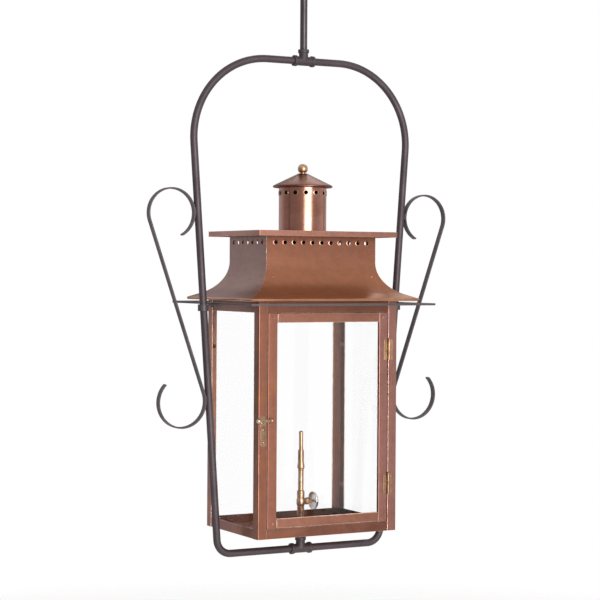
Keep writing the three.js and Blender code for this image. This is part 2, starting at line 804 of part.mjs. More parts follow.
// A ring round the yoke's pipe with a tongue that reaches under the frame's side bar.
function frameClip(side) {
  const top = restTop - restThickness - seatGap;
  const pipeX = yokeHalfAt(restMid);
  const inner = restHalfWidth - restBar - clipThickness;
  const outer = pipeX + pipeRadius + clipWall;
  const tongue = block([inner, -clipWidth / 2, top - clipThickness], [pipeX, clipWidth / 2, top]);
  const ring = cylinder('z', outer - pipeX, top - clipHeight, top, 16).translate(pipeX, 0, 0);
  const pipe = cylinder('z', pipeRadius + fitGap, -2 * clipHeight, 2 * clipHeight, 16).rotateY(yokeLean);
  pipe.translate(yokeHalfAt(top - clipHeight / 2), 0, top - clipHeight / 2);
  const clip = cut(join(tongue, ring), pipe);
  return side > 0 ? clip : clip.rotateZ(Math.PI);
}

function addRest(parent) {
  place(parent, 'rest_frame', restFrame(), darkBronze());
  place(parent, 'frame_clip_left', frameClip(-1), darkBronze());
  place(parent, 'frame_clip_right', frameClip(1), darkBronze());
}

// ---------------------------------------------------------------- burner

function supplyNipple() {
  return tube(pipeRadius, pipeBore, -yokeDrop + teeReach - socketDepth, nippleTop, 16);
}

function hexRing(radius, bore, start, end) {
  const hex = cylinder('z', radius, start, end, 6);
  return cut(hex, cylinder('z', bore, start - 1, end + 1, 16));
}

// The valve's body stands on the nipple, with a boss on its right for the stem's packing nut.
function valveBody() {
  const foot = nippleTop + seatGap;
  const boss = cylinder('x', bossRadius, 0, packingStart, fine).translate(0, 0, valveHeight);
  const barrel = join(cylinder('z', valveRadius, foot, valveTop, 16), boss);
  const bore = cylinder('x', stemRadius + fitGap, valveRadius / 2, packingStart + 1, fine);
  return cut(barrel, bore.translate(0, 0, valveHeight));
}

function packingNut() {
  const nut = cylinder('x', packingRadius, packingStart + seatGap, packingEnd, 6);
  return cut(nut, cylinder('x', stemRadius + fitGap, packingStart - 1, packingEnd + 1, fine));
}

// A dished wheel, hollow towards the valve, on a hub that the stem passes through.
function handwheel() {
  const back = wheelPlace + wheelDish;
  const hub = stemRadius * 2;
  const lip = wheelPlace + 2 * wheelLip;
  return turned([
    [stemRadius + fitGap, back - wheelHub], [hub, back - wheelHub], [hub, back - wheelSheet],
    [wheelRadius - wheelFlatEdge, back - wheelSheet], [wheelRadius - wheelLip, lip],
    [wheelRadius - wheelLip, wheelPlace], [wheelRadius, wheelPlace], [wheelRadius, lip],
    [wheelRadius - wheelFlatEdge + wheelLip, back], [stemRadius + fitGap, back],
  ], 24).rotateY(Math.PI / 2);
}

// The stem ends in a head that holds the wheel on.
function valveStem() {
  const start = valveRadius / 2 + 1;
  const headFoot = wheelPlace + wheelDish + seatGap;
  const head = cylinder('x', stemHeadRadius, headFoot, headFoot + stemHeadHeight, fine);
  return join(cylinder('x', stemRadius, start, headFoot + stemHeadHeight / 2, fine), head);
}

function addBurner(parent) {
  place(parent, 'supply_nipple', supplyNipple(), agedBrass());
  const nutBore = pipeRadius + fitGap;
  const below = hexRing(floorNutRadius, nutBore, -seatGap - floorNutHeight, -seatGap);
  place(parent, 'floor_nut_below', below, darkBronze());
  const aboveFoot = bodySheet + seatGap;
  const above = hexRing(floorNutRadius, nutBore, aboveFoot, aboveFoot + floorNutHeight);
  place(parent, 'floor_nut_above', above, agedBrass());
  place(parent, 'valve_body', valveBody(), brightBrass());
  const stemGroup = new THREE.Group();
  stemGroup.position.z = valveHeight;
  parent.add(stemGroup);
  place(stemGroup, 'packing_nut', packingNut(), brightBrass());
  place(stemGroup, 'valve_stem', valveStem(), brightBrass());
  place(stemGroup, 'valve_handwheel', handwheel(), steel());
  addBurnerTube(parent);
}

function addBurnerTube(parent) {
  const foot = valveTop + seatGap;
  const lower = turnedSolid([
    [0, foot], [burnerCollarRadius, foot], [burnerCollarRadius, burnerCollarTop],
    [burnerTube, burnerCollarTop + burnerCollarTaper], [burnerTube, burnerTubeTop], [0, burnerTubeTop],
  ], 16);
  place(parent, 'burner_tube', lower, brightBrass());
  const hex = cylinder('z', mixerHexRadius, burnerTubeTop + seatGap, mixerHexTop, 6);
  place(parent, 'mixer_nut', hex, agedBrass());
  const sleeve = cylinder('z', mixerRadius, mixerHexTop + seatGap, mixerTop, 16);
  place(parent, 'mixer_sleeve', sleeve, brightBrass());
  const ball = new THREE.SphereGeometry(tipBallRadius, fine, 8).translate(0, 0, tipTop - tipBallRadius);
  const tip = join(cylinder('z', tipRadius, mixerTop + seatGap, tipTop - tipBallRadius, fine), ball);
  place(parent, 'burner_tip', tip, brightBrass());
}

// ---------------------------------------------------------------- ceiling fitting

const rodFoot = underside + yokeTop + teeReach - socketDepth;

function ceilingFlange() {
  const hubFoot = -flangeHubDepth;
  const flange = join(
    cylinder('z', flangeRadius, -flangeThickness, 0, 24),
    cylinder('z', flangeHub, hubFoot, -flangeThickness / 2, 16),
  );
  const bore = cylinder('z', pipeRadius + fitGap, hubFoot - 1, 1, 16);
  const holes = [1, 3, 5, 7].map((eighth) => {
    const hole = cylinder('z', flangeHoleRadius, -flangeThickness - 1, 1, 10);
    return hole.translate(flangeHoleCircle, 0, 0).rotateZ(eighth * Math.PI / 4);
  });
  return cut(flange, bore, ...holes);
}

// A spun dish over the flange, open at the ceiling, with a hole for the rod.
function ceilingCanopy() {
  const bore = pipeRadius + fitGap;
  const points = [];
  const steps = 8;
  const sweep = (radius, depth) => {
    for (let i = 0; i <= steps; i += 1) {
      const angle = (i / steps) * Math.PI / 2;
      const place = bore + (radius - bore) * Math.cos(angle);
      points.push([place, -depth * Math.sin(angle)]);
    }
  };
  sweep(canopyRadius, canopyDepth);
  const inner = points.length;
  sweep(canopyRadius - canopySheet, canopyDepth - canopySheet);
  const outerLine = points.slice(0, inner);
  return turned([...outerLine, ...points.slice(inner).reverse()].reverse(), 32);
}

function addCeiling(parent) {
  place(parent, 'ceiling_flange', ceilingFlange(), darkBronze());
  place(parent, 'ceiling_canopy', ceilingCanopy(), darkBronze());
  const collarTop = -canopyDepth - seatGap;
  const collar = tube(
    canopyCollarRadius, pipeRadius + fitGap, collarTop - canopyCollarHeight, collarTop, 20,
  );
  place(parent, 'canopy_collar', collar, darkBronze());
  place(parent, 'down_rod', tube(pipeRadius, pipeBore, rodFoot, -rodTopGap, 16), darkBronze());
}

// ---------------------------------------------------------------- the whole lantern

const hangingLantern = new THREE.Group();
addCeiling(hangingLantern);

const lantern = new THREE.Group();
lantern.position.z = underside;
hangingLantern.add(lantern);
addYoke(lantern);
addRest(lantern);
addPosts(lantern);
place(lantern, 'base_pan', basePan(), agedCopper());
addHeaders(lantern);
addGlass(lantern);
addDoor(lantern);
addHinges(lantern);
addLatch(lantern);
addRoof(lantern);
place(lantern, 'chimney_tube', chimneyTube(), agedCopper());
place(lantern, 'chimney_cap', chimneyCap(), agedCopper());
place(lantern, 'finial', finial(), brightBrass());
addBurner(lantern);

export default hangingLantern;
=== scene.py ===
"""Looks for a gas-burning hanging lantern of aged copper, in a dark bronze pipe yoke.

Sizes are millimetres in the lantern's own frame, whose zero is the underside of the body; place()
turns them into the row frame's metres. X runs along the door face and -Y is the front.
"""
import json
from math import acos, asin, atan, atan2, cos, floor, pi, radians, sin, sqrt, tan

import bmesh
import bpy
from mathutils import Matrix, Vector

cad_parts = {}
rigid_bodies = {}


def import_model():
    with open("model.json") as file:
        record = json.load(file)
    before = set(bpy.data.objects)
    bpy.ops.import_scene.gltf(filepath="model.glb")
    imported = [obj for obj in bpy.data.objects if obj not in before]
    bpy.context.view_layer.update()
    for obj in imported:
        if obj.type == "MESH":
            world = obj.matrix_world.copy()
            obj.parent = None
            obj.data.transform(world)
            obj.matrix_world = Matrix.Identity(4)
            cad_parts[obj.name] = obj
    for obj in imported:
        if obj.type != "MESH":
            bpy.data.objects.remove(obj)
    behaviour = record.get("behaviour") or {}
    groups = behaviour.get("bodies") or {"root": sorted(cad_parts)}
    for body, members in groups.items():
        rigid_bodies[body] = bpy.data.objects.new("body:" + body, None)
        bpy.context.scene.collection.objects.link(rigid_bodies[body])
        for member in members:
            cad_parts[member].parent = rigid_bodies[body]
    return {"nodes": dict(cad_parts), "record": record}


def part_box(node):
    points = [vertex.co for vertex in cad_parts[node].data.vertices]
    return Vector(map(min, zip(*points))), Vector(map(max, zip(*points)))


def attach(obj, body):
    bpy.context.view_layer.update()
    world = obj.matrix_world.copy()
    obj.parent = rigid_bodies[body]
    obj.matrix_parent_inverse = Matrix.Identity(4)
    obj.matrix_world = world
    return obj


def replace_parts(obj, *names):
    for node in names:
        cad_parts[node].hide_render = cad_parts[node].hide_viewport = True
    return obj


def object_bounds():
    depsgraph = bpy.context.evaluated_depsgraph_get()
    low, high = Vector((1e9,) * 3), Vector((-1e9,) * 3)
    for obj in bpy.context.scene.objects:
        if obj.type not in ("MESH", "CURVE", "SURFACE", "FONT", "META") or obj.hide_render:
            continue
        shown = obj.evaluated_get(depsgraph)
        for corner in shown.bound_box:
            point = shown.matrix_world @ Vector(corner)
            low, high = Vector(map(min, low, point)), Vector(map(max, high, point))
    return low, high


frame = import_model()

cad_low, cad_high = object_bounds()

MM = 0.001
COLLECTION = bpy.context.scene.collection.objects
RECORD = frame["record"]
BODY_OF = {node: body for body, nodes in RECORD["behaviour"]["bodies"].items() for node in nodes}
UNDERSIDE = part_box("corner_post_front_left")[0].z / MM


def span(node):
    """A node's lowest and highest corner, in millimetres in the lantern's frame."""
    low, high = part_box(node)
    lift = Vector((0, 0, UNDERSIDE))
    return low / MM - lift, high / MM - lift


def place(x, y, z):
    return Vector((x, y, z + UNDERSIDE)) * MM


# --- sizes from the frame

POST_LOW, POST_HIGH = span("corner_post_front_left")
HALF_WIDTH = -POST_LOW.x
HALF_DEPTH = -POST_LOW.y
BODY_TOP = POST_HIGH.z
POST_LEG = POST_HIGH.x - POST_LOW.x
SHEET = 1.5
DOOR_FRONT = -HALF_DEPTH

STILE_LOW, STILE_HIGH = span("door_stile_left")
DOOR_BOTTOM, DOOR_TOP = STILE_LOW.z, STILE_HIGH.z
DOOR_HALF = -STILE_LOW.x
DOOR_THICK = STILE_HIGH.y - STILE_LOW.y
STILE_WIDTH = STILE_HIGH.x - STILE_LOW.x
PANE_LOW, PANE_HIGH = span("door_glass")
GROOVE_LOW, GROOVE_HIGH = PANE_LOW.y - 0.3, PANE_HIGH.y + 0.3
GROOVE_DEPTH = 5.0
HARDWARE_BACK = DOOR_FRONT - 0.1        # the hinge leaves' and latch plate's backs
SIDES = (("left", -1), ("right", 1))
HALF_TURNS = (("right", 0), ("left", pi))
PAST = 5        # how far a cutting tool reaches beyond what it cuts

VENT_INSET = 30
FLARE_REACH = 60
FLARE_RADIUS = 64
FLARE_TURN = radians(68)
ROOF_SHEET = 1.2
BEAD_RADIUS = 2.7
VENT_TOP = span("roof_front")[1].z
VENT_HALF_X = HALF_WIDTH - VENT_INSET
VENT_HALF_Y = HALF_DEPTH - VENT_INSET
VENT_DROP = 20
VENT_PITCH = 19.25
VENT_MARGIN = 15
VENT_HOLE = 3.8
VENT_HEIGHT = VENT_TOP - VENT_DROP
FLARE_TOP = VENT_TOP - 55
FLARE_END_OUT = FLARE_RADIUS * (1 - cos(FLARE_TURN))
EAVE_SLOPE = pi / 2 - FLARE_TURN
EAVE_OUT = FLARE_REACH - BEAD_RADIUS
EAVE_DROP = (EAVE_OUT + BEAD_RADIUS * sin(EAVE_SLOPE) - FLARE_END_OUT) * tan(EAVE_SLOPE)
EAVE_HEIGHT = FLARE_TOP - FLARE_RADIUS * sin(FLARE_TURN) - EAVE_DROP - BEAD_RADIUS * cos(EAVE_SLOPE)

CHIMNEY_LOW, CHIMNEY_HIGH = span("chimney_tube")
CHIMNEY_RADIUS = CHIMNEY_HIGH.y
CHIMNEY_TOP = CHIMNEY_HIGH.z

PIPE_RADIUS = 6.85
PIPE_BORE = 4.6
PIPE_HOLE = PIPE_RADIUS + 0.3
TEE_TOP = sum(span("upper_tee"), Vector()).z / 2
STEM_HEIGHT = sum(span("valve_stem"), Vector()).z / 2


# --- camera

CAMERA_YAW = radians(28.74)       # round to the lantern's left from straight in front
CAMERA_DISTANCE = 3384
CAMERA_HEIGHT = 486.4
CAMERA_LENS = 107.8
CAMERA_ROLL = radians(0.37)
CAMERA_SHIFT = (-0.0036, -0.0508)


def add_camera():
    data = bpy.data.cameras.new("camera")
    data.sensor_width = 36
    data.lens = CAMERA_LENS
    data.shift_x, data.shift_y = CAMERA_SHIFT
    data.clip_start, data.clip_end = 0.05, 60
    camera = bpy.data.objects.new("camera", data)
    COLLECTION.link(camera)
    camera.location = place(
        -CAMERA_DISTANCE * sin(CAMERA_YAW), -CAMERA_DISTANCE * cos(CAMERA_YAW), CAMERA_HEIGHT
    )
    level = Matrix.Rotation(-CAMERA_YAW, 4, "Z") @ Matrix.Rotation(pi / 2, 4, "X")
    camera.matrix_world = Matrix.Translation(camera.location) @ level @ Matrix.Rotation(CAMERA_ROLL, 4, "Z")
    bpy.context.scene.camera = camera


# --- shapes as (points, faces)

def joined(*shapes):
    points, faces = [], []
    for some_points, some_faces in shapes:
        start = len(points)
        points += some_points
        faces += [tuple(i + start for i in face) for face in some_faces]
    return points, faces


def moved(shape, x=0, y=0, z=0):
    points, faces = shape
    return [(px + x, py + y, pz + z) for px, py, pz in points], faces


def spun(shape, axis, angle):
    turn = Matrix.Rotation(angle, 3, axis)
    points, faces = shape
    return [tuple(turn @ Vector(p)) for p in points], faces


def along(shape, axis):
    """Lays a shape drawn about Z along X, or with "-y" towards the front."""
    return spun(shape, "Y" if axis == "x" else "X", pi / 2)


def facing(shape, x, y, z):
    """A shape drawn about Z, turned to face the front and moved into place."""
    return moved(along(shape, "-y"), x, y, z)


def circle(radius, sides):
    return [(radius * cos(2 * pi * i / sides), radius * sin(2 * pi * i / sides)) for i in range(sides)]


def ring_faces(start, after, count):
    """The faces between two rings of points."""
    turns = [(i, (i + 1) % count) for i in range(count)]
    return [(start + i, start + j, after + j, after + i) for i, j in turns]


def lathe(profile, sides):
    """[radius, height] points turned about Z. A profile off the axis closes on itself."""
    points, faces, rings = [], [], []
    for radius, height in profile:
        if radius < 1e-6:
            rings.append([len(points)])
            points.append((0.0, 0.0, height))
            continue
        rings.append(list(range(len(points), len(points) + sides)))
        for i in range(sides):
            angle = 2 * pi * i / sides
            points.append((radius * cos(angle), radius * sin(angle), height))
    pairs = list(zip(rings, rings[1:]))
    if len(rings[0]) > 1 and len(rings[-1]) > 1:
        pairs.append((rings[-1], rings[0]))
    for first, second in pairs:
        for i in range(sides):
            j = (i + 1) % sides
            corners = [(first, i), (first, j), (second, j), (second, i)]
            face = tuple(dict.fromkeys(ring[k % len(ring)] for ring, k in corners))
            if len(face) > 2:
                faces.append(face)
    return points, faces


def rod(radius, start, end, sides=32):
    return lathe([(0, start), (radius, start), (radius, end), (0, end)], sides)


def prism(outline, start, end):
    """A flat outline in X and Y raised from one height to another."""
    count = len(outline)
    points = [(x, y, start) for x, y in outline] + [(x, y, end) for x, y in outline]
    faces = [tuple(reversed(range(count))), tuple(range(count, 2 * count))]
    return points, faces + ring_faces(0, count, count)


def block(low, high):
    return prism([(low[0], low[1]), (high[0], low[1]), (high[0], high[1]), (low[0], high[1])], low[2], high[2])


def arc(x, y, radius, start, end, steps):
    angles = [start + (end - start) * i / steps for i in range(steps + 1)]
    return [(x + radius * cos(a), y + radius * sin(a)) for a in angles]


def rounded_box(low, high, radius, steps=4):
    """A rectangle's outline with round corners."""
    (x0, y0), (x1, y1) = low, high
    centres = ((x1 - radius, y1 - radius), (x0 + radius, y1 - radius),
               (x0 + radius, y0 + radius), (x1 - radius, y0 + radius))
    outline = []
    for quarter, (x, y) in enumerate(centres):
        outline += arc(x, y, radius, quarter * pi / 2, (quarter + 1) * pi / 2, steps)
    return outline


def swept(path, section, closed=False):
    """A section of (a, b) points carried along [point, normal, side] places: a along the normal."""
    count = len(section)
    points = []
    for point, normal, side in path:
        points += [tuple(point + normal * a + side * b) for a, b in section]
    faces = []
    places = len(path)
    for k in range(places if closed else places - 1):
        faces += ring_faces(k * count, (k + 1) % places * count, count)
    if not closed:
        faces.append(tuple(reversed(range(count))))
        faces.append(tuple(range((places - 1) * count, places * count)))
    return points, faces


HEAD_SINK = 0.4        # how far a small head reaches below the surface it sits on


def dome(radius, height, sides=20, steps=5):
    """A rivet's or screw's head on the plane z = 0."""
    crown = [(radius * x, height * z) for x, z in arc(0, 0, 1, 0, pi / 2, steps)[:-1]]
    return lathe([(0, -HEAD_SINK), (radius, -HEAD_SINK), *crown, (0, height)], sides)


def slotted_screw(radius, height, turn=0.0):
    """A low screw head whose slot is a dark groove between two half-domes."""
    gap, crown = radius * 0.14, 0.72
    rim = arc(0, 0, radius, asin(gap / radius), pi - asin(gap / radius), 10)
    top = [(x * crown, gap + (y - gap) * crown) for x, y in rim]
    count = len(rim)
    points = [(x, y, -HEAD_SINK) for x, y in rim] + [(x, y, height * 0.45) for x, y in rim]
    points += [(x, y, height) for x, y in top]
    faces = [tuple(reversed(range(count))), tuple(range(2 * count, 3 * count))]
    faces += ring_faces(0, count, count) + ring_faces(count, 2 * count, count)
    halves = [spun((points, faces), "Z", side + turn) for side in (0, pi)]
    return joined(*halves, rod(radius * 0.9, -HEAD_SINK, height * 0.3, 16))


# --- shapes into pieces

WELD = 1e-6            # metres within which points become one


def to_mesh(name, shape):
    points, faces = shape
    mesh = bpy.data.meshes.new(name)
    mesh.from_pydata([place(*p) for p in points], [], faces)
    work = bmesh.new()
    work.from_mesh(mesh)
    bmesh.ops.remove_doubles(work, verts=work.verts, dist=WELD)
    bmesh.ops.recalc_face_normals(work, faces=work.faces)
    work.to_mesh(mesh)
    work.free()
    return mesh


def combine(shape, operation, *tools):
    """A shape after an exact boolean with each tool, as a mesh."""
    mesh = to_mesh("work", shape) if isinstance(shape, tuple) else shape
    for tool in tools:
        target = bpy.data.objects.new("work", mesh)
        cutter = bpy.data.objects.new("tool", to_mesh("tool", tool))
        COLLECTION.link(target)
        COLLECTION.link(cutter)
        modifier = target.modifiers.new("combine", "BOOLEAN")
        modifier.object, modifier.operation = cutter, operation
        modifier.solver, modifier.use_self = "EXACT", True
        bpy.context.view_layer.update()
        mesh = bpy.data.meshes.new_from_object(target.evaluated_get(bpy.context.evaluated_depsgraph_get()))
        bpy.data.objects.remove(target)
        bpy.data.objects.remove(cutter)
    return mesh


def cut(shape, *tools):
    return combine(shape, "DIFFERENCE", *tools)


def fused(shape, *tools):
    return combine(shape, "UNION", *tools)


def eased(mesh, width, sharpest, segments):
    """Rounds the edges sharper than an angle. Rounded faces carry 1 in the edge mask, and the rest 0; the mask
    marks worn edges and where a highlight is painted along them.
    """
    work = bmesh.new()
    work.from_mesh(mesh)
    bmesh.ops.remove_doubles(work, verts=work.verts, dist=WELD)
    bmesh.ops.dissolve_limit(work, angle_limit=radians(0.4), verts=work.verts, edges=work.edges)
    wear_and_highlight = work.faces.layers.float.new("wear_and_highlight")
    if width > 0:
        sharp = [e for e in work.edges if len(e.link_faces) == 2 and e.calc_face_angle(0) > sharpest]
        made = bmesh.ops.bevel(
            work, geom=sharp, offset=width * MM, offset_type="OFFSET", segments=segments,
            profile=0.5, affect="EDGES", clamp_overlap=True,
        )
        for face in made["faces"]:
            face[wear_and_highlight] = 1.0
    work.to_mesh(mesh)
    work.free()
    mesh.shade_smooth()
    mesh.set_sharp_from_angle(angle=radians(38))


def weigh_normals(obj):
    """Keeps large flat faces flat where they meet rounded edges."""
    modifier = obj.modifiers.new("weighted", "WEIGHTED_NORMAL")
    modifier.keep_sharp = True
    modifier.weight = 80


def add_piece(name, shape, material, body, ease=0.3, sharpest=40, segments=2):
    mesh = to_mesh(name, shape) if isinstance(shape, tuple) else shape
    mesh.name = name
    eased(mesh, ease, radians(sharpest), segments)
    obj = bpy.data.objects.new(name, mesh)
    COLLECTION.link(obj)
    mesh.materials.clear()
    mesh.materials.append(material)
    weigh_normals(obj)
    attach(obj, body)
    return obj


def stand_for(node, shape, material, ease=0.3, sharpest=40, segments=2):
    """A finished piece in a CAD node's place, on the same body."""
    obj = add_piece(f"{node}_piece", shape, material, BODY_OF[node], ease, sharpest, segments)
    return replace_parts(obj, node)


def turned(node, profile, material, sides, ease=0.0, sharpest=40):
    """A piece lathed about the lantern's own axis."""
    return stand_for(node, lathe(profile, sides), material, ease, sharpest)


def add_trim(name, shape, material, node, ease=0.0):
    """Small fixed detail that goes with a CAD node."""
    return add_piece(name, shape, material, BODY_OF[node], ease)


# --- materials

def feed(tree, socket, value):
    """Joins another node's output to a socket, or sets a plain value on it."""
    if hasattr(value, "links"):
        tree.links.new(value, socket)
    else:
        socket.default_value = (*value, 1) if socket.type == "RGBA" else value


def add_node(tree, kind, inputs=None, **settings):
    node = tree.nodes.new("ShaderNode" + kind)
    for name, value in settings.items():
        setattr(node, name, value)
    for name, value in (inputs or {}).items():
        feed(tree, node.inputs[name], value)
    return node


def new_material(name):
    material = bpy.data.materials.new(name)
    material.use_nodes = True
    return material, material.node_tree


def shaded(material, inputs):
    """The material, its shader's inputs fed from a table."""
    tree = material.node_tree
    for name, value in inputs.items():
        feed(tree, tree.nodes["Principled BSDF"].inputs[name], value)
    return material


def noise(tree, scale, detail=4.0, roughness=0.55, stretch=(1, 1, 1), distortion=0.0):
    """Noise in object space, with the given number of features a metre."""
    coordinates = add_node(tree, "TexCoord").outputs["Object"]
    mapped = add_node(tree, "Mapping", {"Scale": stretch, "Vector": coordinates}).outputs["Vector"]
    return add_node(tree, "TexNoise", {
        "Scale": scale, "Detail": detail, "Roughness": roughness, "Distortion": distortion, "Vector": mapped,
    }).outputs["Fac"]


def ramp(tree, value, *stops):
    node = add_node(tree, "ValToRGB", {"Fac": value})
    elements = node.color_ramp.elements
    while len(elements) < len(stops):
        elements.new(0.5)
    for element, (position, color) in zip(elements, stops):
        element.position, element.color = position, (*color, 1)
    return node.outputs["Color"]


def mix(tree, factor, first, second, mode="MIX"):
    node = add_node(tree, "Mix", {"Factor": factor}, data_type="RGBA", blend_type=mode)
    for socket, value in zip([s for s in node.inputs if s.type == "RGBA"], (first, second)):
        feed(tree, socket, value)
    return next(s for s in node.outputs if s.type == "RGBA")


def remap(tree, value, low, high, to_low, to_high):
    ends = {"From Min": low, "From Max": high, "To Min": to_low, "To Max": to_high}
    return add_node(tree, "MapRange", {"Value": value, **ends}).outputs["Result"]


def calc(tree, operation, *values):
    node = add_node(tree, "Math", operation=operation)
    for socket, value in zip(node.inputs, values):
        feed(tree, socket, value)
    return node.outputs["Value"]


def bump(tree, height, distance, strength):
    ends = {"Distance": distance, "Strength": strength}
    return add_node(tree, "Bump", {"Height": height, **ends}).outputs["Normal"]


def darkened(tree, share, color, pattern, tone, low=0.3, high=0.7):
    """A colour multiplied by a tone where a pattern is low."""
    return mix(tree, share, color, ramp(tree, pattern, (low, tone), (high, (1, 1, 1))), "MULTIPLY")


def worn_and_highlit(tree, share=1.0):
    """The wear and the painted highlight on rounded edges, broken up by noise."""
    wear_and_highlight = add_node(tree, "Attribute", attribute_name="wear_and_highlight").outputs["Fac"]
    broken = remap(tree, noise(tree, 160, 3), 0.35, 0.6, 0.35, 1.0)
    return calc(tree, "MULTIPLY", calc(tree, "MULTIPLY", wear_and_highlight, broken), share)


def height_share(tree, low, high):
    """0 at one height in the lantern's frame and 1 at another."""
    split = add_node(tree, "SeparateXYZ", {"Vector": add_node(tree, "TexCoord").outputs["Object"]})
    return remap(tree, split.outputs["Z"], place(0, 0, low).z, place(0, 0, high).z, 0.0, 1.0)


# Heights between which the roof coppers turn lighter and warmer towards the eave: a painted sheen on the
# flare.
SHEEN_HEIGHTS = (435, 540)       # from the eave to the vent holes
SHEEN_SHARE = 0.55
ROUGH = (0.38, 0.25)


def aged_copper(name, dark, middle, warm, grain, rough=ROUGH, metal=1.0, sheen_tints=None):
    """Browned copper sheet: cloudy patina, a fine drawn grain along one way, and bright edges that are worn
    and carry a painted highlight.
    """
    material, tree = new_material(f"copper_{name}")
    clouds = noise(tree, 11, 5, 0.6, distortion=0.6)
    color = ramp(tree, clouds, (0.34, dark), (0.5, middle), (0.66, warm))
    # the tints paint a sheen: lighter and warmer low on the roof
    if sheen_tints:
        low, high = (mix(tree, SHEEN_SHARE, color, sheen_tint) for sheen_tint in sheen_tints)
        color = mix(tree, height_share(tree, *SHEEN_HEIGHTS), low, high)
    color = darkened(tree, 0.5, color, noise(tree, 75, 6, 0.7), (0.62, 0.6, 0.6))
    streaks = noise(tree, 1, 3, 0.7, stretch=grain)
    color = darkened(tree, 0.35, color, streaks, (0.72, 0.7, 0.7))
    dents = calc(tree, "ADD", noise(tree, 38, 3), calc(tree, "MULTIPLY", streaks, 0.25))
    return shaded(material, {
        "Base Color": mix(tree, worn_and_highlit(tree), color, (0.95, 0.68, 0.54)),
        "Metallic": metal,
        "Roughness": remap(tree, calc(tree, "ADD", clouds, streaks), 0.6, 1.4, *rough),
        "Normal": bump(tree, dents, 0.0006, 0.35),
    })


def dark_bronze(name, tone, rough):
    """A matte dark coat over iron, with a fine orange peel and lighter edges, rubbed and with a painted
    highlight.
    """
    material, tree = new_material(name)
    clouds = noise(tree, 14, 5, 0.65)
    low, high = (tuple(c * share for c in tone) for share in (0.78, 1.3))
    speck = noise(tree, 420, 2)
    color = ramp(tree, clouds, (0.32, low), (0.68, high))
    color = darkened(tree, 0.35, color, speck, (0.6, 0.6, 0.6), 0.35, 0.65)
    return shaded(material, {
        "Base Color": mix(tree, worn_and_highlit(tree, 0.35), color, (0.25, 0.18, 0.15)),
        "Metallic": 0.25,
        "Roughness": remap(tree, clouds, 0.3, 0.7, rough + 0.08, rough - 0.06),
        "Normal": bump(tree, calc(tree, "ADD", speck, noise(tree, 130, 3)), 0.0004, 0.4),
    })


def brass(name, dull, bright, rough):
    """Brass with brown tarnish in patches and cleaner worn edges that carry a painted highlight."""
    material, tree = new_material(name)
    tarnish = noise(tree, 95, 5, 0.65)
    color = ramp(tree, tarnish, (0.36, dull), (0.62, bright))
    return shaded(material, {
        "Base Color": mix(tree, worn_and_highlit(tree, 0.6), color, (0.86, 0.66, 0.40)),
        "Metallic": 1.0,
        "Roughness": remap(tree, tarnish, 0.3, 0.7, rough + 0.12, rough - 0.05),
        "Normal": bump(tree, noise(tree, 300, 3), 0.0003, 0.3),
    })


def plated_steel():
    material, tree = new_material("plated_steel")
    grain = noise(tree, 1, 3, stretch=(500, 60, 60))
    return shaded(material, {
        "Base Color": ramp(tree, grain, (0.3, (0.80, 0.78, 0.74)), (0.7, (0.96, 0.94, 0.91))),
        "Metallic": 1.0,
        "Roughness": remap(tree, grain, 0.3, 0.7, 0.42, 0.28),
    })


def window_glass():
    """Clear sheet glass, seen through with little change, with faint waves and a few dull smears."""
    material, tree = new_material("clear_glass")
    smears = noise(tree, 9, 4)
    return shaded(material, {
        "Base Color": ramp(tree, smears, (0.3, (0.93, 0.97, 0.96)), (0.7, (1, 1, 1))),
        "Transmission Weight": 1.0,
        "IOR": 1.45,
        "Alpha": 0.035,
        "Roughness": remap(tree, smears, 0.3, 0.75, 0.0, 0.06),
        "Normal": bump(tree, noise(tree, 14, 2), 0.0005, 0.08),
    })


def sooted_and_shaded(tone):
    """The near-black inside the chimney, soot and painted shade both, and the painted shade behind the vent
    holes.
    """
    material, tree = new_material("chimney_soot_and_shade")
    deep = ramp(tree, noise(tree, 60, 3), (0.3, tone), (0.7, tuple(c * 1.6 for c in tone)))
    return shaded(material, {"Base Color": deep, "Roughness": 0.8})


ROSE = (0.375, 0.172, 0.122)
BROWN = (0.285, 0.122, 0.080)
UMBER = (0.185, 0.080, 0.054)
AMBER = (0.395, 0.168, 0.080)

# The drawn grain's scale along X, Y and Z: few features the way it runs.
ALONG_X, ALONG_Y, ALONG_Z = (18, 700, 700), (700, 18, 700), (500, 500, 9)


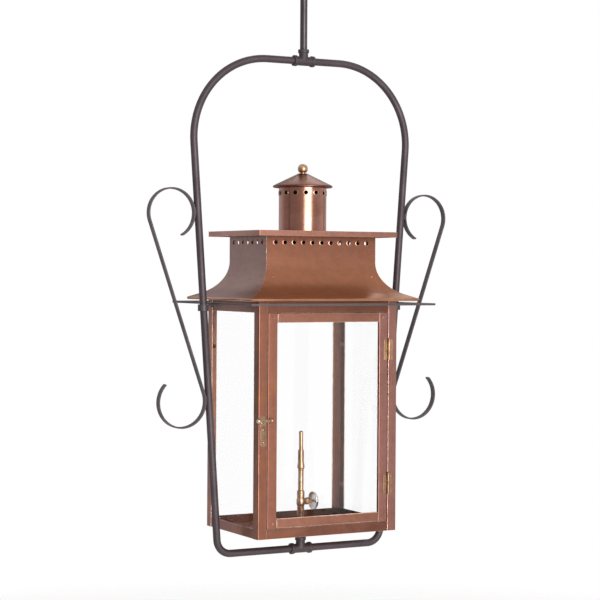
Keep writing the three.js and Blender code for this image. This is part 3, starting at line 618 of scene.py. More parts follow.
COPPERS = (
    ("post", BROWN, (0.335, 0.145, 0.092), AMBER, ALONG_Z),
    ("rosy", (0.33, 0.155, 0.12), (0.405, 0.195, 0.155), (0.44, 0.215, 0.165), ALONG_Z),
    ("deep", (0.245, 0.102, 0.067), (0.285, 0.121, 0.077), (0.335, 0.14, 0.068), ALONG_Z),
    ("rail", (0.32, 0.145, 0.095), (0.385, 0.175, 0.118), AMBER, ALONG_X),
    # The headers' darker umber copper is painted shade from the eave above them.
    ("header", UMBER, (0.24, 0.105, 0.068), BROWN, ALONG_X),
    ("pan", UMBER, BROWN, (0.38, 0.155, 0.07), ALONG_X),
    ("top", (0.36, 0.17, 0.12), (0.44, 0.205, 0.145), (0.47, 0.235, 0.18), ALONG_X),
    ("chimney", (0.42, 0.195, 0.13), (0.48, 0.225, 0.155), (0.53, 0.26, 0.19), ALONG_Z, (0.26, 0.17)),
    ("cone", (0.19, 0.08, 0.052), (0.235, 0.10, 0.068), (0.27, 0.12, 0.085), ALONG_X, (0.44, 0.34)),
    ("screw", ROSE, (0.62, 0.36, 0.25), (0.8, 0.52, 0.38), ALONG_Z),
    # The bead's lighter copper is a painted highlight along the eave.
    ("bead", (0.50, 0.235, 0.13), (0.60, 0.30, 0.17), (0.68, 0.38, 0.24), ALONG_X, (0.34, 0.24)),
    ("rivet", BROWN, ROSE, (0.6, 0.34, 0.24), ALONG_Z),
    ("clip", BROWN, ROSE, (0.45, 0.22, 0.15), ALONG_Z, ROUGH, 0.35),
    # The roof copper's tints make it lighter and warmer towards the eave: a painted sheen on the flare.
    ("roof", (0.215, 0.088, 0.053), (0.265, 0.100, 0.053), (0.295, 0.120, 0.073), ALONG_X,
     ROUGH, 0.62, ((0.46, 0.19, 0.085), (0.262, 0.100, 0.056))),
    # The left roof's own greyer, pinker copper is partly dusty patina and partly painted light for the dimmer,
    # bluish side it faces; its lighter tone low down is a painted sheen.
    ("roof_side", (0.255, 0.150, 0.122), (0.30, 0.165, 0.125), (0.33, 0.18, 0.13), ALONG_Y,
     ROUGH, 0.75, ((0.36, 0.20, 0.15), (0.30, 0.16, 0.115))),
)
(COPPER_POST, COPPER_ROSY, COPPER_DEEP, COPPER_RAIL, COPPER_HEADER_SHADED, COPPER_PAN, COPPER_TOP,
 COPPER_CHIMNEY, COPPER_CONE, COPPER_SCREW, COPPER_BEAD_HIGHLIGHT, COPPER_RIVET, COPPER_CLIP, COPPER_ROOF,
 COPPER_ROOF_SIDE_DUST_AND_LIGHT) = (aged_copper(*row) for row in COPPERS)
BRONZE_PIPE = dark_bronze("bronze_pipe", (0.054, 0.038, 0.042), 0.48)
BRONZE_ROD = dark_bronze("bronze_rod", (0.050, 0.038, 0.036), 0.30)
BRONZE_BAR = dark_bronze("bronze_bar", (0.064, 0.048, 0.050), 0.44)
BRASS_AGED = brass("brass_aged", (0.12, 0.075, 0.048), (0.27, 0.175, 0.11), 0.36)
BRASS_HINGE = brass("brass_hinge", (0.25, 0.13, 0.075), (0.49, 0.30, 0.17), 0.36)
BRASS_DULL = brass("brass_dull", (0.20, 0.11, 0.068), (0.34, 0.20, 0.12), 0.36)
# The knob's pale brass paints its white highlights.
BRASS_KNOB_HIGHLIGHT = brass("brass_knob_highlight", (0.50, 0.38, 0.30), (0.80, 0.68, 0.58), 0.20)
BRASS_BRIGHT = brass("brass_bright", (0.35, 0.20, 0.11), (0.62, 0.39, 0.24), 0.32)
STEEL = plated_steel()
SOOT_AND_SHADE = sooted_and_shaded((0.012, 0.010, 0.010))
GLASS = window_glass()


# --- body

def post_section(side_x, side_y):
    """The angle's section: a bend with its outside corner rounded, drawn at the body's corner."""
    bend = 2.2
    outer = arc(bend, bend, bend, 1.5 * pi, pi, 6)
    inner = arc(bend, bend, bend - SHEET, pi, 1.5 * pi, 4)
    outline = [(POST_LEG, 0), *outer, (0, POST_LEG), (SHEET, POST_LEG), *inner, (POST_LEG, SHEET)]
    points = [(side_x * (HALF_WIDTH - u), side_y * (HALF_DEPTH - v)) for u, v in outline]
    return points if side_x * side_y > 0 else points[::-1]


def add_posts():
    tones = {"front_right": COPPER_ROSY, "front_left": COPPER_DEEP}
    for depth, side_y in (("front", -1), ("back", 1)):
        for side, side_x in SIDES:
            corner = f"{depth}_{side}"
            post = prism(post_section(side_x, side_y), 0, BODY_TOP)
            stand_for(f"corner_post_{corner}", post, tones.get(corner, COPPER_POST), 0.6, segments=3)


def add_base_pan():
    low, high = span("base_pan")
    wall = Vector((SHEET, SHEET))
    inside = prism(rounded_box(low.xy + wall, high.xy - wall, 0.6), low.z + SHEET, high.z + PAST)
    tray = prism(rounded_box(low.xy, high.xy, 1.0), low.z, high.z)
    stand_for("base_pan", cut(tray, inside, rod(PIPE_HOLE, low.z - PAST, low.z + PAST)), COPPER_PAN)


def add_headers():
    for name in ("front", "back", "left", "right"):
        # the darker copper paints the eave's shade on the headers
        stand_for(f"header_{name}", block(*span(f"header_{name}")), COPPER_HEADER_SHADED)


def add_glass():
    for node in ("glass_left", "glass_right", "glass_back", "door_glass"):
        pane = frame["nodes"][node]
        pane.data.materials.clear()
        pane.data.materials.append(GLASS)


def add_pane_clips():
    """Small tabs on the posts' inner faces, each with two rivets, two heights at each side pane."""
    heights, thick, rivet = (66, 340), 0.8, dome(1.8, 1.0, 14)
    clip = joined(prism(rounded_box((-3.5, -7), (3.5, 7), 1.5), 0, thick),
                  moved(rivet, 0, 3.5, thick), moved(rivet, 0, -3.5, thick))
    out_x = -span("glass_left")[1].x - 0.05
    out_y = HALF_DEPTH - POST_LEG + SHEET
    tabs = [moved(spun(clip, "Y", -x * pi / 2), x * out_x, y * out_y, height)
            for x in (-1, 1) for y in (-1, 1) for height in heights]
    add_trim("pane_clips", joined(*tabs), COPPER_CLIP, "corner_post_front_left")


# --- door

def stile_outline(side):
    """A folded bar with round outer edges and a groove for the glass in its inner edge."""
    width, bottom, bend = STILE_WIDTH, STILE_WIDTH - GROOVE_DEPTH, 1.3
    groove_low, groove_high = GROOVE_LOW - DOOR_FRONT, GROOVE_HIGH - DOOR_FRONT
    outline = [
        *arc(bend, bend, bend, pi, 1.5 * pi, 4), *arc(width - bend, bend, bend, 1.5 * pi, 2 * pi, 4),
        (width, groove_low), (bottom, groove_low), (bottom, groove_high), (width, groove_high),
        (width, DOOR_THICK), (0, DOOR_THICK),
    ]
    return [(side * (DOOR_HALF - u), DOOR_FRONT + v) for u, v in outline][:: 1 if side < 0 else -1]


def add_door_stop():
    """A folded strip behind the door's edge that closes the gap all round it."""
    face = DOOR_FRONT + DOOR_THICK + 0.1
    back = face + 1
    opening = HALF_WIDTH - POST_LEG
    edge = opening + SHEET
    header, rim = span("header_front")[0].z, span("base_pan")[1].z
    strips = []
    for side in (-1, 1):
        for near, front in ((opening - 5, face), (opening + 0.5, DOOR_FRONT + SHEET)):
            x0, x1 = sorted((side * near, side * edge))
            strips.append(block((x0, front, rim + 0.2), (x1, back, header - 0.2)))
    for level, inwards in ((rim, 1), (header, -1)):
        for far, front in ((5, face), (-0.2, DOOR_FRONT + 2 * SHEET + 0.1)):
            z0, z1 = sorted((level - inwards * 1.2, level + inwards * far))
            strips.append(block((-edge, front, z0), (edge, back, z1)))
    # the door stop takes the headers' darker copper: painted shade in the door's gap
    add_trim("door_stop", fused(*strips), COPPER_HEADER_SHADED, "header_front", ease=0.2)


def add_door():
    for (side, side_x), material in zip(SIDES, (COPPER_POST, COPPER_ROSY)):
        stile = prism(stile_outline(side_x), DOOR_BOTTOM, DOOR_TOP)
        stand_for(f"door_stile_{side}", stile, material, 0.6, segments=3)
    for edge, inwards in (("bottom", 1), ("top", -1)):
        low, high = span(f"door_rail_{edge}")
        inner = high.z if inwards > 0 else low.z
        z0, z1 = sorted((inner - GROOVE_DEPTH * inwards, inner + inwards))
        groove = block((low.x - 1, GROOVE_LOW, z0), (high.x + 1, GROOVE_HIGH, z1))
        stand_for(f"door_rail_{edge}", cut(block(low, high), groove), COPPER_RAIL, 0.7, segments=3)
    from_end, across = 8.5, DOOR_HALF - STILE_WIDTH * 0.58
    heads = [facing(slotted_screw(2.3, 1.0, 0.6 * side), side * across, DOOR_FRONT, height)
             for side in (-1, 1) for height in (DOOR_BOTTOM + from_end, DOOR_TOP - from_end)]
    add_trim("door_corner_screws", joined(*heads), COPPER_SCREW, "door_stile_left")


# --- hinges

KNUCKLE_RADIUS, KNUCKLE_BORE, KNUCKLE_GAP = 2.6, 1.45, 0.15
LEAF_THICK, LEAF_HALF, LEAF_NEAR = 1.2, 19.0, 2.9
LEAF_FRONT = HARDWARE_BACK - LEAF_THICK
HINGE_X = DOOR_HALF + 0.5
HINGE_Y = HARDWARE_BACK + 0.1 - KNUCKLE_RADIUS - 0.15


def hinge_leaf(node, side, places, centre):
    """A stamped leaf with round corners and its share of the three knuckles."""
    low, high = span(node)
    far = high.x - HINGE_X if side > 0 else HINGE_X - low.x
    x0, x1 = sorted((side * LEAF_NEAR, side * far))
    sheet = prism(rounded_box((x0, -LEAF_HALF), (x1, LEAF_HALF), 1.6), 0, LEAF_THICK)
    pieces = [facing(sheet, HINGE_X, HARDWARE_BACK, centre)]
    length = 2 * LEAF_HALF / 3
    x0, x1 = sorted((HINGE_X + side * 1.6, HINGE_X + side * (LEAF_NEAR + 1)))
    for i in places:
        start = -LEAF_HALF + i * length + (KNUCKLE_GAP if i > 0 else 0)
        end = -LEAF_HALF + (i + 1) * length - (KNUCKLE_GAP if i < 2 else 0)
        pieces.append(block((x0, LEAF_FRONT, centre + start), (x1, HARDWARE_BACK, centre + end)))
        barrel = [(KNUCKLE_BORE, start), (KNUCKLE_RADIUS, start), (KNUCKLE_RADIUS, end), (KNUCKLE_BORE, end)]
        pieces.append(moved(lathe(barrel, 24), HINGE_X, HINGE_Y, centre))
    return joined(*pieces)


def add_hinges():
    screws = {"post": [], "door": []}
    shank = [(0, -19), (1.3, -19), (1.3, 19.1), (2.5, 19.1), (2.5, 19.7), (1.9, 20.7), (0.9, 21), (0, 21)]
    for name, material in (("upper", BRASS_HINGE), ("lower", BRASS_DULL)):
        centre = span(f"hinge_{name}_pin")[0].z + LEAF_HALF
        for leaf, side, places in (("post", 1, (0, 2)), ("door", -1, (1,))):
            node = f"hinge_{name}_{leaf}_leaf"
            stand_for(node, hinge_leaf(node, side, places, centre), material, 0.25)
            for height, turn in ((-14.5, 0.3), (0, 1.2), (14.5, -0.5)):
                head = slotted_screw(1.6, 0.7, turn + side)
                screws[leaf].append(facing(head, HINGE_X + side * 6.3, LEAF_FRONT, centre + height))
        stand_for(f"hinge_{name}_pin", moved(lathe(shank, 24), HINGE_X, HINGE_Y, centre), material, 0.1)
    for leaf, heads in screws.items():
        add_trim(f"hinge_screws_{leaf}_leaf", joined(*heads), BRASS_BRIGHT, f"hinge_upper_{leaf}_leaf")


# --- latch

def add_latch():
    """The plate with its catch pin on the post, and the hook with its knob on the door."""
    low, high = span("latch_keeper")
    catch, half = (low.x + high.x) / 2, (high.x - low.x) / 2
    front = HARDWARE_BACK - SHEET
    pivot = sum(span("latch_pivot_screw"), Vector()) / 2
    plate = facing(prism(rounded_box((-half, -27), (half, 27), 2.4, 5), 0, SHEET),
                   catch, HARDWARE_BACK, pivot.z - 19)
    pin = front - low.y
    boss = [(0, -0.3), (4.2, -0.3), (4.2, 0.25), (2.0, 0.35), (2.0, pin - 0.6), (1.5, pin), (0, pin)]
    keeper = joined(plate, facing(lathe(boss, 28), catch, front, pivot.z - 2.5))
    stand_for("latch_keeper", keeper, BRASS_AGED, 0.25)
    rivets = [facing(dome(2.3, 1.5), catch, front, pivot.z - drop) for drop in (16, 39)]
    add_trim("latch_plate_rivets", joined(*rivets), COPPER_SCREW, "latch_keeper")

    hook_x = span("latch_hook")[0].x
    hook_y, thick, bore, knob = front - 0.5, 2.5, 2.3, 4.4
    reach, tail = catch - pivot.x, hook_x + 5 - pivot.x
    arm = [(tail, -1.7), (reach - 4, -2.2), (reach - 2.8, -2.5), *arc(reach, -2.5, 2.3, pi, 0, 10),
           (reach + 3.5, -2.5), (-4.5, -2.5), (-4.5, 2.5), (reach - 3, 2.5), (reach - 5, 1.8), (tail, 1.7)]
    eye = lathe([(bore, 0), (5, 0), (5, 2.1), (4.4, thick), (bore, thick)], 32)
    arm, eye, drill = (facing(shape, pivot.x, hook_y, pivot.z)
                       for shape in (prism(arm, 0, thick), eye, rod(bore, -2, 6, 28)))
    # the knob's pale brass is a painted highlight
    add_trim("latch_knob", moved(ball_shape(knob), hook_x + knob, hook_y - thick / 2 - 2, pivot.z),
             BRASS_KNOB_HIGHLIGHT, "latch_hook")
    stand_for("latch_hook", cut(fused(arm, eye), drill), BRASS_AGED)
    head = [(0, -1.0), (2.0, -1.0), (2.0, 2.8), (4.0, 2.8), (3.9, 3.6), (3.2, 4.8), (1.8, 5.6), (0, 5.8)]
    stand_for("latch_pivot_screw", facing(lathe(head, 28), pivot.x, hook_y, pivot.z), COPPER_SCREW, 0.1)


def ball_shape(radius, sides=28, steps=14):
    profile = arc(0, 0, radius, -pi / 2, pi / 2, steps)[1:-1]
    return lathe([(0, -radius), *profile, (0, radius)], sides)


# --- roof

def roof_section():
    """The sheet's section as (outward, height): straight, flared, and rolled round the eave's wire."""
    bead_end = FLARE_TURN + acos(1 - ROOF_SHEET / BEAD_RADIUS)
    return [
        (0, VENT_TOP),
        *arc(FLARE_RADIUS, FLARE_TOP, FLARE_RADIUS, pi, pi + FLARE_TURN, 24),
        *arc(EAVE_OUT, EAVE_HEIGHT, BEAD_RADIUS, FLARE_TURN, bead_end - 2 * pi, 18),
        *arc(FLARE_RADIUS, FLARE_TOP, FLARE_RADIUS + ROOF_SHEET, pi + FLARE_TURN, pi, 24),
        (-ROOF_SHEET, VENT_TOP),
    ]


def vent_places(half):
    count = floor((2 * half - 2 * VENT_MARGIN) / VENT_PITCH) + 1
    return [(i - (count - 1) / 2) * VENT_PITCH for i in range(count)]


def hole_ring(hole):
    """The raised burr that a punched hole leaves, drawn about Z on the plane z = 0; set in lighter copper than
    its sheet, it is also a painted highlight ring round the hole.
    """
    return lathe([(hole, -0.3), (hole + 1.7, -0.3), (hole + 1.5, 0.15), (hole + 0.6, 0.45), (hole, 0.4)], 24)


def roof_panel(half, out):
    """A panel facing -Y with mitred ends, cut for its vent holes."""
    section, seam = roof_section(), 0.12
    count = len(section)
    points = [(end * (half + u - seam), -(out + u), v) for end in (-1, 1) for u, v in section]
    faces = [*ring_faces(0, count, count), tuple(range(count)), tuple(range(count, 2 * count))]
    drill = rod(VENT_HOLE, -4, 4, 24)
    return cut((points, faces), joined(*[facing(drill, x, -out, VENT_HEIGHT) for x in vent_places(half)]))


EAVE_WIRE = 2.9


def add_roof():
    add_eave_bead()
    for quarter, name in enumerate(("front", "right", "back", "left")):
        half, out = (VENT_HALF_X, VENT_HALF_Y)[:: 1 if quarter % 2 == 0 else -1]
        turn, node = quarter * pi / 2, f"roof_{name}"
        mesh = roof_panel(half, out)
        mesh.transform(Matrix.Rotation(turn, 4, "Z"))
        # the left panel takes the greyer copy: dust, and painted light for that side
        stand_for(node, mesh, COPPER_ROOF_SIDE_DUST_AND_LIGHT if name == "left" else COPPER_ROOF, 0.45, 55)
        if name == "back":
            strip = block((-26, out - 1.9, VENT_HEIGHT - 8), (half, out - 1.5, VENT_HEIGHT + 8))
            # a near-black strip that paints shade behind the back vent holes
            add_trim("vent_shade_strip", strip, SOOT_AND_SHADE, node)
        # the rims' lighter copper paints a bright ring round each vent hole
        rims = joined(*[facing(hole_ring(VENT_HOLE), x, -out, VENT_HEIGHT) for x in vent_places(half)])
        add_trim(f"vent_rims_{name}", spun(rims, "Z", turn), COPPER_RIVET, node)
        add_trim(f"roof_rivets_{name}", spun(roof_rivets(half, out), "Z", turn), COPPER_RIVET, node)


def add_eave_bead():
    """The wired edge that runs round the eave, brightest along its top; its lighter copper paints a highlight
    along it.
    """
    path = []
    for x, y in ((1, 1), (-1, 1), (-1, -1), (1, -1)):
        corner = Vector((x * (VENT_HALF_X + EAVE_OUT), y * (VENT_HALF_Y + EAVE_OUT), EAVE_HEIGHT))
        path.append((corner, Vector((x, y, 0)), Vector((0, 0, 1))))
    add_trim("eave_bead", swept(path, circle(EAVE_WIRE, 18), closed=True), COPPER_BEAD_HIGHLIGHT, "roof_front")


def roof_rivets(half, out):
    """One rivet near each hip, part way down the flare."""
    angle, from_hip = radians(24.6), 17
    away = FLARE_RADIUS * (1 - cos(angle))
    height = FLARE_TOP - FLARE_RADIUS * sin(angle)
    head = spun(dome(2.1, 0.9), "X", pi / 2 - angle)
    return joined(*[moved(head, side * (half + away - from_hip), -(out + away), height) for side in (-1, 1)])


def add_cap_plate():
    low, high = span("roof_cap_plate")
    wall = Vector((ROOF_SHEET, ROOF_SHEET))
    lid = prism(rounded_box(low.xy, high.xy, 1.2), low.z, high.z)
    inside = prism(rounded_box(low.xy + wall, high.xy - wall, 0.6), low.z - PAST, high.z - ROOF_SHEET)
    hole = rod(CHIMNEY_RADIUS - ROOF_SHEET, low.z - PAST, high.z + PAST, 96)
    stand_for("roof_cap_plate", cut(lid, inside, hole), COPPER_TOP, 0.5, segments=3)


# --- chimney

CHIMNEY_HOLES = 14
CHIMNEY_HOLE = 4.05
CHIMNEY_HOLE_DROP = 12.5
CHIMNEY_HOLE_TURN = radians(5)


def around_chimney(shape):
    """A shape drawn on the front of the chimney, repeated at every hole."""
    step = 2 * pi / CHIMNEY_HOLES
    return joined(*[spun(shape, "Z", CHIMNEY_HOLE_TURN + i * step) for i in range(CHIMNEY_HOLES)])


def add_chimney():
    foot, outer, inner = CHIMNEY_LOW.z, CHIMNEY_RADIUS, CHIMNEY_RADIUS - ROOF_SHEET
    height = CHIMNEY_TOP - CHIMNEY_HOLE_DROP
    drills = around_chimney(facing(rod(CHIMNEY_HOLE, -4, 4, 24), 0, -outer, height))
    wall = lathe([(inner, foot), (outer, foot), (outer, CHIMNEY_TOP), (inner, CHIMNEY_TOP)], 112)
    stand_for("chimney_tube", cut(wall, drills), COPPER_CHIMNEY, 0.25, 60)
    # the rims' lighter copper paints a bright ring round each chimney hole
    rims = around_chimney(facing(hole_ring(CHIMNEY_HOLE), 0, -outer - 0.1, height))
    add_trim("chimney_hole_rims", rims, COPPER_SCREW, "chimney_tube")
    # a near-black lining inside the chimney wall: soot, and painted shade seen through the holes
    back, face, top = inner - 0.7, inner - 0.1, CHIMNEY_TOP - 6.5
    soot_and_shade_lining = lathe([(back, foot), (face, foot), (face, top), (back, top)], 84)
    add_trim("chimney_soot_and_shade", cut(soot_and_shade_lining, drills), SOOT_AND_SHADE, "chimney_tube")
    lap = block((-6, outer - 0.6, foot + 0.3), (6, outer + 0.7, CHIMNEY_TOP - 0.3))
    add_trim("chimney_lap_seam", lap, COPPER_CHIMNEY, "chimney_tube", ease=0.3)
    fillet = [(outer - 0.2, foot), (outer + 1.8, foot), (outer + 0.8, foot + 0.7), (outer - 0.2, foot + 1.8)]
    add_trim("chimney_solder", lathe(fillet, 96), COPPER_RIVET, "chimney_tube")


CAP_BEAD = 1.7
CAP_RISE = 23
CAP_TOP_RADIUS = 8.7
CAP_RADIUS = CHIMNEY_RADIUS + 9.7


def add_chimney_cap():
    base = CHIMNEY_TOP + CAP_BEAD
    rise = CAP_RISE / (CAP_RADIUS - CAP_TOP_RADIUS)
    thick = ROOF_SHEET
    collar_outer = CHIMNEY_RADIUS - ROOF_SHEET - 0.3
    collar_inner = collar_outer - thick
    foot = CHIMNEY_TOP - 6

    def under(radius):
        return base + (CAP_RADIUS - radius) * rise - thick

    bead = arc(CAP_RADIUS - 0.5, base - 1.6, 2.3, pi / 2 - 0.3, -pi / 2 - 0.9, 12)
    profile = [
        (0, base + CAP_RISE), (CAP_TOP_RADIUS, base + CAP_RISE), *bead,
        (collar_outer, under(collar_outer)), (collar_outer, foot), (collar_inner, foot),
        (collar_inner, under(collar_inner)), (CAP_TOP_RADIUS, under(CAP_TOP_RADIUS)),
        (0, under(CAP_TOP_RADIUS)),
    ]
    turned("chimney_cap", profile, COPPER_CONE, 96, 0.2, 60)
    add_trim("chimney_cap_seam", cap_seam(base, rise), COPPER_CONE, "chimney_cap", ease=0.15)
    low, high = span("finial")
    radius = (high.x - low.x) / 2
    centre = high.z - radius
    start = acos((centre - low.z) / radius)
    ball = arc(0, centre, radius, start - pi / 2, pi / 2, 20)[:-1]
    neck = [(0, low.z), (5.2, low.z), (5.2, low.z + 1.3), (4.4, low.z + 1.8)]
    ball = [point for point in ball if point[1] > low.z + 2.2]
    turned("finial", [*neck, *ball, (0, high.z)], BRASS_BRIGHT, 48)


def cap_seam(base, rise):
    """The lapped edge where the cone's sheet meets itself, to the left of the front."""
    points = []
    for radius in (CAP_TOP_RADIUS + 1, CAP_RADIUS - 1.5):
        height = base + (CAP_RADIUS - radius) * rise
        half = 1.2 + 2.6 * (radius - CAP_TOP_RADIUS) / CAP_RADIUS
        for across, lift in ((-half, -0.5), (half, -0.5), (half, 0.7), (-half, 0.9)):
            points.append((across, -radius, height + lift))
    faces = [(0, 1, 2, 3), (4, 5, 6, 7), *ring_faces(0, 4, 4)]
    return spun((points, faces), "Z", -CAMERA_YAW - radians(40))


# --- pipe yoke

YOKE_DROP = 38
YOKE_CLEAR, YOKE_SPREAD = 27.5, 65
YOKE_BOTTOM_HALF = HALF_WIDTH + YOKE_CLEAR
YOKE_TOP_HALF = YOKE_BOTTOM_HALF + YOKE_SPREAD
YOKE_TOP_BEND = 150
YOKE_BOTTOM_BEND = 28
PIPE_START = 12
YOKE_LEAN = atan((YOKE_TOP_HALF - YOKE_BOTTOM_HALF) / (TEE_TOP + YOKE_DROP))


def yoke_half_at(height):
    return YOKE_BOTTOM_HALF + (height + YOKE_DROP) * tan(YOKE_LEAN)


def bent_path(corners, radii, steps):
    """Places along straight stretches with rounded corners in the plane y = 0."""
    side = Vector((0, 1, 0))
    places = []

    def put(point, tangent):
        places.append((Vector(point), tangent.cross(side), side))

    corners = [Vector((x, 0, z)) for x, z in corners]
    put(corners[0], (corners[1] - corners[0]).normalized())
    for before, corner, after, radius in zip(corners, corners[1:], corners[2:], radii):
        entry, leaving = (corner - before).normalized(), (after - corner).normalized()
        turn = entry.angle(leaving)
        start = corner - entry * radius * tan(turn / 2)
        inward = (leaving - entry * leaving.dot(entry)).normalized()
        centre = start + inward * radius
        for k in range(steps + 1):
            angle = turn * k / steps
            tangent = entry * cos(angle) + inward * sin(angle)
            put(centre - inward * radius * cos(angle) + entry * radius * sin(angle), tangent)
    put(corners[-1], (corners[-1] - corners[-2]).normalized())
    return places


def add_yoke_tubes():
    for side, x in SIDES:
        corners = [(x * PIPE_START, TEE_TOP), (x * YOKE_TOP_HALF, TEE_TOP),
                   (x * YOKE_BOTTOM_HALF, -YOKE_DROP), (x * PIPE_START, -YOKE_DROP)]
        path = bent_path(corners, [YOKE_TOP_BEND, YOKE_BOTTOM_BEND], 30)
        stand_for(f"yoke_tube_{side}", swept(path, circle(PIPE_RADIUS, 28)), BRONZE_PIPE, 0.2, 60)


def fitting_band(start, radius):
    """The rolled band round a fitting's mouth, drawn about Z."""
    lip, width = 1.2, 7
    return lathe([(0, start), *arc(radius - lip, start + lip, lip, -pi / 2, 0, 4),
                  *arc(radius - lip, start + width - lip, lip, 0, pi / 2, 4), (0, start + width)], 36)


def tee_shape():
    """A banded malleable tee with its branch up and its sockets open."""
    reach, body, band = 22, PIPE_RADIUS + 1.85, PIPE_RADIUS + 3.55
    mouth, socket = fitting_band(reach - 7, band), rod(PIPE_HOLE, reach - 10, reach + 4, 36)
    run, branch = along(rod(body, 1 - reach, reach - 1, 36), "x"), rod(body, 0, reach - 1, 36)
    mouths, sockets = ([along(shape, "x"), spun(along(shape, "x"), "Z", pi), shape]
                       for shape in (mouth, socket))
    return cut(fused(run, branch, *mouths), *sockets)


def add_tees():
    for node, height in (("upper_tee", TEE_TOP), ("lower_tee", -YOKE_DROP)):
        mesh = tee_shape()
        mesh.transform(Matrix.Translation((0, 0, height * MM)))
        stand_for(node, mesh, BRONZE_PIPE, 0.4, 35)


# --- scrolls

SCROLL_BAR = 3
UPPER_CURL = 46.5
LOWER_CURL = 48
UPPER_TIP, LOWER_TIP = pi + radians(62), 3 * pi - radians(135)


def curl_centre(height, radius):
    return yoke_half_at(height) + (PIPE_RADIUS + 0.1 + radius) / cos(YOKE_LEAN)


def scroll_path(*curls):
    """Places along the S, from the upper curl's tip to the lower curl's."""
    upper, lower = (Vector((curl_centre(height, radius), 0, height)) for height, radius in curls)
    upper_mid, lower_mid = (radius - SCROLL_BAR / 2 for _, radius in curls)
    across = lower - upper
    leave = atan2(across.z, across.x) + acos((upper_mid + lower_mid) / across.length)
    places = []
    for centre, radius, outward, start, end in ((upper, upper_mid, 1, UPPER_TIP, leave),
                                                (lower, lower_mid, -1, leave + pi, LOWER_TIP)):
        for x, z in arc(0, 0, 1, start, end, 48):
            out = Vector((x, 0, z))
            places.append((centre + out * radius, out * outward, Vector((0, 1, 0))))
    return places


def add_scrolls():
    low, high = span("scroll_right")
    curls = ((high.z - UPPER_CURL, UPPER_CURL), (low.z + LOWER_CURL, LOWER_CURL))
    half_bar, half_width = SCROLL_BAR / 2, 6
    section = rounded_box((-half_bar, -half_width), (half_bar, half_width), 0.8, 3)
    bar = swept(scroll_path(*curls), section)
    bead = spun(squashed_ball(2.0, 2.4, 7.5), "Y", YOKE_LEAN)
    inward = Vector((-cos(YOKE_LEAN), 0, sin(YOKE_LEAN)))
    welds = []
    for side, turn in HALF_TURNS:
        stand_for(f"scroll_{side}", spun(bar, "Z", turn), BRONZE_BAR, 0.2, 60)
        for height, radius in curls:
            touch = Vector((curl_centre(height, radius), 0, height)) + inward * radius
            welds += [spun(moved(bead, touch.x, y, touch.z), "Z", turn) for y in (-3.2, 3.2)]
    add_trim("scroll_welds", joined(*welds), BRONZE_BAR, "scroll_left")


def squashed_ball(x, y, z):
    points, faces = ball_shape(1, 16, 8)
    return [(px * x, py * y, pz * z) for px, py, pz in points], faces


# --- ladder rest

REST_BAR = 12.7
CLIP_RADIUS = PIPE_RADIUS + 3


def add_rest():
    low, high = span("rest_frame")
    bar = Vector((REST_BAR, REST_BAR))
    inside = block((*(low.xy + bar), low.z - 1), (*(high.xy - bar), high.z + 1))
    outside = prism(rounded_box(low.xy, high.xy, 4, 6), low.z, high.z)
    stand_for("rest_frame", cut(outside, inside), BRONZE_BAR, 0.7, segments=3)


def add_clips():
    """The bolted clips that carry the rest frame on the yoke's pipes."""
    low, high = span("frame_clip_right")
    pipe_x, mid, thick = high.x - CLIP_RADIUS, (low.z + high.z) / 2, 3
    ring = moved(rod(CLIP_RADIUS, low.z, high.z, 36), pipe_x)
    tongue = block((low.x, -8, high.z - thick), (pipe_x, 8, high.z))
    hole = moved(spun(rod(PIPE_HOLE, -60, 60, 36), "Y", YOKE_LEAN), yoke_half_at(mid), 0, mid)
    clip = cut(fused(ring, tongue), hole)
    bolt = joined(rod(3.4, -2.4, 0, 6), moved(dome(1.8, 1.2), 0, 0, -2.4))
    bolt = moved(bolt, low.x + 9.5, 0, high.z - thick)
    for side, turn in HALF_TURNS:
        mesh = clip.copy()
        mesh.transform(Matrix.Rotation(turn, 4, "Z"))
        stand_for(f"frame_clip_{side}", mesh, BRONZE_BAR, 0.5)
    bolts = [spun(bolt, "Z", turn) for _, turn in HALF_TURNS]
    add_trim("frame_clip_bolts", joined(*bolts), BRONZE_BAR, "frame_clip_left", ease=0.2)


# --- burner

def on_stem(shape):
    """A shape drawn about Z, laid along the valve's stem."""
    return moved(along(shape, "x"), 0, 0, STEM_HEIGHT)


def add_supply():
    """The threaded nipple through the pan and the nuts that clamp it."""
    low, high = span("supply_nipple")
    threads, thread_depth = 12, 0.55
    nipple = [(PIPE_BORE, low.z), (6.4, low.z), (PIPE_RADIUS, low.z + 0.8)]
    for height in (high.z - 14 + i for i in range(threads)):
        nipple += [(PIPE_RADIUS, height), (PIPE_RADIUS - thread_depth, height + 0.5)]
    nipple += [(PIPE_RADIUS, high.z - 1.2), (6.3, high.z), (PIPE_BORE, high.z)]
    turned("supply_nipple", nipple, BRASS_BRIGHT, 40, 0, 60)
    for node, material in (("floor_nut_below", BRONZE_BAR), ("floor_nut_above", BRASS_BRIGHT)):
        low, high = span(node)
        nut = cut(rod(15, low.z, high.z, 6), rod(PIPE_HOLE, low.z - 2, high.z + 2, 40))
        stand_for(node, nut, material, 0.7, segments=3)


